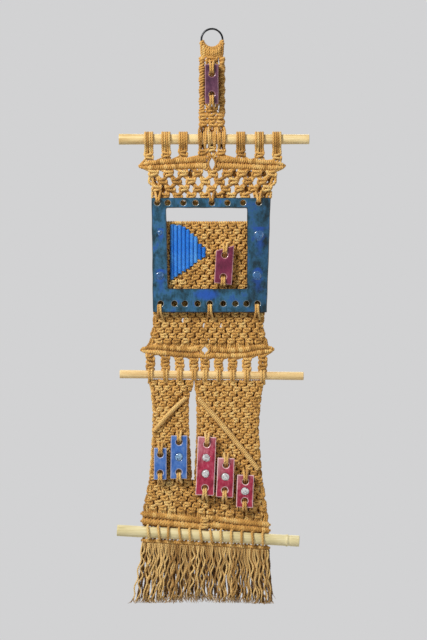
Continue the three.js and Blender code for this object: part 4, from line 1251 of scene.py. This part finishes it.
def glazed(node, material, body, slot, voxel=0.62, wobble=0.22):
    """A handmade ceramic piece: the frame's solid with softened edges and an uneven surface."""
    source = frame["nodes"][node]
    mesh = source.data.copy()
    mesh.name = node + "_glazed"
    piece = placed_object(node + "_glazed", mesh)
    remesh = piece.modifiers.new("even", "REMESH")
    remesh.mode = "VOXEL"
    remesh.voxel_size = voxel * MM
    soften = piece.modifiers.new("soften", "SMOOTH")
    soften.factor, soften.iterations = 0.5, 5
    graph = bpy.context.evaluated_depsgraph_get()
    done = bpy.data.meshes.new_from_object(piece.evaluated_get(graph))
    piece.modifiers.clear()
    piece.data = done
    count = len(done.vertices)
    points = np.empty(count * 3)
    done.vertices.foreach_get("co", points)
    points = points.reshape(-1, 3)
    normals = np.empty(count * 3)
    done.vertices.foreach_get("normal", normals)
    normals = normals.reshape(-1, 3)
    mm = points / MM
    side = np.abs(normals[:, 1]) < 0.72
    tree = KDTree(int(side.sum()))
    for index, at in enumerate(mm[side]):
        tree.insert((at[0], 0, at[2]), index)
    tree.balance()
    away = np.array([tree.find((at[0], 0, at[2]))[2] for at in mm])
    # 1 near the edges and on the side walls: the frame's glaze paints it dark as shade, the plaques' glazes
    #                                         pale as thin glaze with a painted highlight.
    rim = np.clip(1.2 - away / 1.5, 0, 1)
    wave = (np.sin(mm[:, 0] * 0.11 + mm[:, 2] * 0.07) + np.sin(mm[:, 2] * 0.17 - mm[:, 0] * 0.05 + 2)
            + np.sin(mm[:, 0] * 0.31 + 1) * np.sin(mm[:, 2] * 0.27)) / 3
    points = points + normals * (wobble * MM * wave)[:, None] - normals * (0.1 * MM)
    done.vertices.foreach_set("co", points.astype(np.float32).ravel())
    holes = hole_mask(node, mm, side)
    for name, values in (("rim", rim * (1 - holes)), ("run", run_mask(node, mm)), ("hole", holes)):
        layer = done.attributes.new(name, "FLOAT", "POINT")
        layer.data.foreach_set("value", values.astype(np.float32))
    done.polygons.foreach_set("use_smooth", np.ones(len(done.polygons), bool))
    done.materials.clear()
    done.materials.append(material)
    put(piece, body, slot, node)


# Glass fused into the frame's glaze: place and radius, each with a run of bright glaze below it.
FRAME_DROPS = [(-62.3, -243.8, 3.5), (-62.3, -295.2, 5.0), (56.2, -247.0, 6.4), (54.0, -295.2, 5.6)]


def run_mask(node, mm):
    """Where the second glaze lies: under the frame's glass, on its foot rail, at the tops of red plaques."""
    x, z = mm[:, 0], mm[:, 2]
    mask = np.zeros(len(mm))
    if node.startswith("red_plaque"):
        across = (x - low(node)[0]) / (high(node)[0] - low(node)[0])
        down = (high(node)[2] - z) / (high(node)[2] - low(node)[2])
        amount = {"red_plaque_tall": 0.62, "red_plaque_medium": 0.8, "red_plaque_short": 0.5}[node]
        return np.clip(amount * (1.1 - across * 0.7 - down * 1.6), 0, 1) + 0.12
    if node != "ceramic_frame":
        return mask
    for px, pz, r in FRAME_DROPS:
        below = (pz - z) / (5.5 * r)
        width = r * (0.9 + 0.3 * np.sin(z * 0.6))
        run = np.exp(-((x - px - 1) / width) ** 2) * np.clip(1 - below, 0, 1) * (below > -0.3)
        mask = np.maximum(mask, run)
    patch = np.exp(-(((x + 7) / 15) ** 2 + ((z + 318) / 7) ** 2) ** 2)
    return np.clip(np.maximum(mask, patch), 0, 1)


def hole_mask(node, mm, side):
    """1 at the rims of the frame's small holes, 0 elsewhere. The glaze paints these rims pale: thin glaze
    together with a painted highlight.
    """
    mask = np.zeros(len(mm))
    if node != "ceramic_frame":
        return mask
    x, z = mm[:, 0], mm[:, 2]
    in_top_rail = (z < FRAME_TOP - 2.5) & (z > FRAME_TOP - 10)
    in_foot_rail = (z > FRAME_FOOT + 6.5) & (z < FRAME_FOOT + 14.5)
    in_rail = in_top_rail | in_foot_rail
    walls = side & in_rail & (x > low(node)[0] + 3) & (x < high(node)[0] - 5)
    tree = KDTree(int(walls.sum()))
    for index, at in enumerate(mm[walls]):
        tree.insert((at[0], 0, at[2]), index)
    tree.balance()
    return np.clip(1.1 - np.array([tree.find((at[0], 0, at[2]))[2] for at in mm]) / 1.3, 0, 1)


def drop_mesh(name, x, y, z, radius, rise, material):
    """A low dome with a slightly uneven outline."""
    rings, sides = 9, 28
    verts, faces = [], []
    turn = rng.uniform(0, 6)
    for i in range(rings + 1):
        a = 0.5 * math.pi * i / rings
        for j in range(sides):
            b = 2 * math.pi * j / sides
            outline = 1 + 0.04 * math.sin(2 * b + turn) + 0.03 * math.sin(3 * b + turn)
            r = radius * math.cos(a) ** 0.8 * outline
            verts.append((x + r * math.cos(b), y - rise * math.sin(a), z + r * math.sin(b)))
    for i in range(rings):
        for j in range(sides):
            k = (j + 1) % sides
            faces.append((i * sides + j, i * sides + k, (i + 1) * sides + k, (i + 1) * sides + j))
    faces.append(tuple(reversed(range(sides))))
    mesh = bpy.data.meshes.new(name)
    mesh.from_pydata([tuple(c * MM for c in v) for v in verts], [], faces)
    mesh.polygons.foreach_set("use_smooth", np.r_[np.ones(len(faces) - 1, bool), False])
    mesh.validate()
    mesh.materials.append(material)
    return placed_object(name, mesh)


def ceramics():
    glazed("ceramic_frame", TEAL, "upper", "teal_glaze", voxel=0.8, wobble=0.3)
    glazed("neck_plaque", PLUM, "neck_plaque", "plum_glaze")
    glazed("inner_plaque", WINE, "inner_plaque", "wine_glaze")
    for name in ("blue_plaque_short", "blue_plaque_tall"):
        glazed(name, SKY, name, "sky_glaze")
    for name in ("red_plaque_tall", "red_plaque_medium", "red_plaque_short"):
        glazed(name, ROSE, name, "rose_glaze")
    for node in [n for n in frame["nodes"] if "glass" in n]:
        body = node.split("_glass")[0]
        x, _, z = centre(node)
        radius = (high(node)[0] - low(node)[0]) / 2
        material = BLUE_GLASS if body.startswith("blue") else WHITE_GLASS
        piece = drop_mesh(node + "_dome", x, high(node)[1] - 0.4, z, radius, 1.5, material)
        put(piece, body, "glass_drop", node)
    for i, (x, z, radius) in enumerate(FRAME_DROPS):
        piece = drop_mesh(f"frame_drop_{i + 1}", x, FRAME_FRONT + 0.5, z, radius, 1.5, FRAME_GLASS)
        put(piece, "upper", "teal_glaze")


# ---------------------------------------------------------------- dowels
ROD_EASE = 0.32  # taken off the radius, so that a rod can slide in its cords
ROD_SKIN = 0.12  # the same, for the unevenness round the rod


def dowel_piece(node, material, body, tilt=0.0, taper=0.0, nodes_at=(), radius=None):
    """A turned or grown rod along X, with eased sawn ends."""
    x0, x1 = low(node)[0] + 0.02, high(node)[0] - 0.02
    middle = centre(node)
    radius = radius or (high(node)[1] - low(node)[1]) / 2
    length = (x1 - x0)
    stations, sides = 260, 48
    verts, faces, sawn = [], [], []
    ease = 0.9
    along_it = np.r_[np.linspace(-length / 2, -length / 2 + ease, 6)[:-1],
                     np.linspace(-length / 2 + ease, length / 2 - ease, stations),
                     np.linspace(length / 2 - ease, length / 2, 6)[1:]]
    c, s = math.cos(math.radians(tilt)), math.sin(math.radians(tilt))
    phase = rng.uniform(0, 6, 4)
    for t in along_it:
        end = min(1.0, (length / 2 - abs(t)) / ease)
        r = radius * (1 - taper * (t / length + 0.5)) * (0.93 + 0.07 * math.sqrt(max(0, 1 - (1 - end) ** 2)))
        r += 0.06 * math.sin(t * 0.045 + phase[0]) + 0.04 * math.sin(t * 0.13 + phase[1]) - ROD_EASE
        for at in nodes_at:
            r += 0.75 * math.exp(-((t - at) / 1.3) ** 2) - 0.35 * math.exp(-((t - at - 2.6) / 1.2) ** 2)
        for j in range(sides):
            a = 2 * math.pi * j / sides
            uneven = 1 + 0.006 * math.sin(3 * a + phase[2]) + 0.004 * math.sin(7 * a + phase[3] + t * 0.02)
            rr = (r - ROD_SKIN) * uneven
            z = rr * math.sin(a)
            verts.append((middle[0] + t * c - z * s, rr * math.cos(a), middle[2] + t * s + z * c))
            sawn.append(0.0)
    count = len(along_it)
    for i in range(count - 1):
        for j in range(sides):
            k = (j + 1) % sides
            faces.append((i * sides + j, (i + 1) * sides + j, (i + 1) * sides + k, i * sides + k))
    for i, t, inward in ((0, along_it[0], 1), (count - 1, along_it[-1], -1)):
        ring = [i * sides + j for j in range(sides)]
        previous = ring
        for share in (0.72, 0.4, 0.12):
            start = len(verts)
            for j in range(sides):
                v = np.array(verts[ring[j]])
                mid = np.array([middle[0] + t * c, 0, middle[2] + t * s])
                hollow = np.array([0.08 * (1 - share) * inward, 0, 0])
                verts.append(tuple(mid + (v - mid) * share + hollow))
                sawn.append(1.0)
            now = list(range(start, start + sides))
            for j in range(sides):
                k = (j + 1) % sides
                quad = (previous[j], previous[k], now[k], now[j])
                faces.append(quad if i == 0 else tuple(reversed(quad)))
            previous = now
        faces.append(tuple(previous) if i == 0 else tuple(reversed(previous)))
    mesh = bpy.data.meshes.new(node + "_rod")
    mesh.from_pydata([tuple(np.array(v) * MM) for v in verts], [], faces)
    layer = mesh.attributes.new("sawn", "FLOAT", "POINT")
    layer.data.foreach_set("value", np.array(sawn, np.float32))
    mesh.polygons.foreach_set("use_smooth", np.ones(len(faces), bool))
    mesh.validate()
    mesh.materials.append(material)
    put(placed_object(node + "_rod", mesh), body, "bamboo", node)


def dowels():
    dowel_piece("top_dowel", TOP_WOOD, "top_dowel", taper=0.06)
    dowel_piece("middle_dowel", MIDDLE_WOOD, "middle_dowel", tilt=math.degrees(math.atan(MIDDLE_SLOPE)))
    dowel_piece("bottom_dowel", BOTTOM_WOOD, "bottom_dowel", tilt=math.degrees(math.atan(BOTTOM_SLOPE)),
                nodes_at=(95.0,), radius=BOTTOM_RADIUS)


# ---------------------------------------------------------------- the whole
upper_loom = weave_upper()
weave_net(upper_loom)
side_sennits()
inner_cordwork()
blue_weave()
lower_loom = lower_net()
middle_hitches(lower_loom)
bottom_cordwork(panels())
fringe()
plaque_ties()
ceramics()
dowels()


# ---------------------------------------------------------------- floor, light and camera
def plain(name, colour, roughness=0.9):
    material, n, shader = new_material(name)
    n.fill(shader, {"Base Color": (*colour, 1), "Roughness": roughness})
    return material


def floor():
    half, z = 1.1, -1.15
    mesh = bpy.data.meshes.new("floor")
    corners = [(-half, -half, z), (half, -half, z), (half, half, z), (-half, half, z)]
    mesh.from_pydata(corners, [], [(0, 1, 2, 3)])
    mesh.materials.append(plain("floor_paint", srgb(214, 214, 214)))
    placed_object("floor", mesh)


def area_light(name, place, target, size, power, colour=(1, 1, 1)):
    data = bpy.data.lights.new(name, "AREA")
    data.shape, data.size, data.energy, data.color = "SQUARE", size, power, colour
    lamp = placed_object(name, data)
    lamp.location = place
    lamp.rotation_mode = "QUATERNION"
    lamp.rotation_quaternion = (Vector(target) - Vector(place)).to_track_quat("-Z", "Y")


def surroundings():
    world = bpy.data.worlds.new("studio")
    bpy.context.scene.world = world
    world.use_nodes = True
    tree = world.node_tree
    n = Nodes(tree)
    background = tree.nodes["Background"]
    seen = n.make("ShaderNodeLightPath").outputs["Is Camera Ray"]
    n.fill(background, {"Color": n.mix(seen, (0.64, 0.64, 0.64), srgb(210, 210, 211)),
                        "Strength": n.math("MULTIPLY_ADD", seen, 0.56, 0.44)})
    middle = (0, 0, -0.35)
    area_light("key", (-1.2, -1.3, 0.95), middle, 0.5, 48, (1, 0.98, 0.94))
    area_light("fill", (1.4, -1.6, -0.2), middle, 1.2, 6)
    area_light("back", (0.4, 1.8, 0.8), middle, 1.2, 18)


def camera():
    data = bpy.data.cameras.new("camera")
    data.sensor_fit, data.sensor_width = "AUTO", 36
    distance, tall = 2.4, 0.768
    data.lens = data.sensor_width * distance / tall
    data.clip_start, data.clip_end = 0.05, 20
    eye = placed_object("camera", data)
    eye.location = (0.0018, -distance - 0.006, -0.3484)
    eye.rotation_euler = (math.pi / 2, 0, 0)
    bpy.context.scene.camera = eye


floor()
surroundings()
camera()
bpy.context.scene.view_settings.view_transform = "Standard"
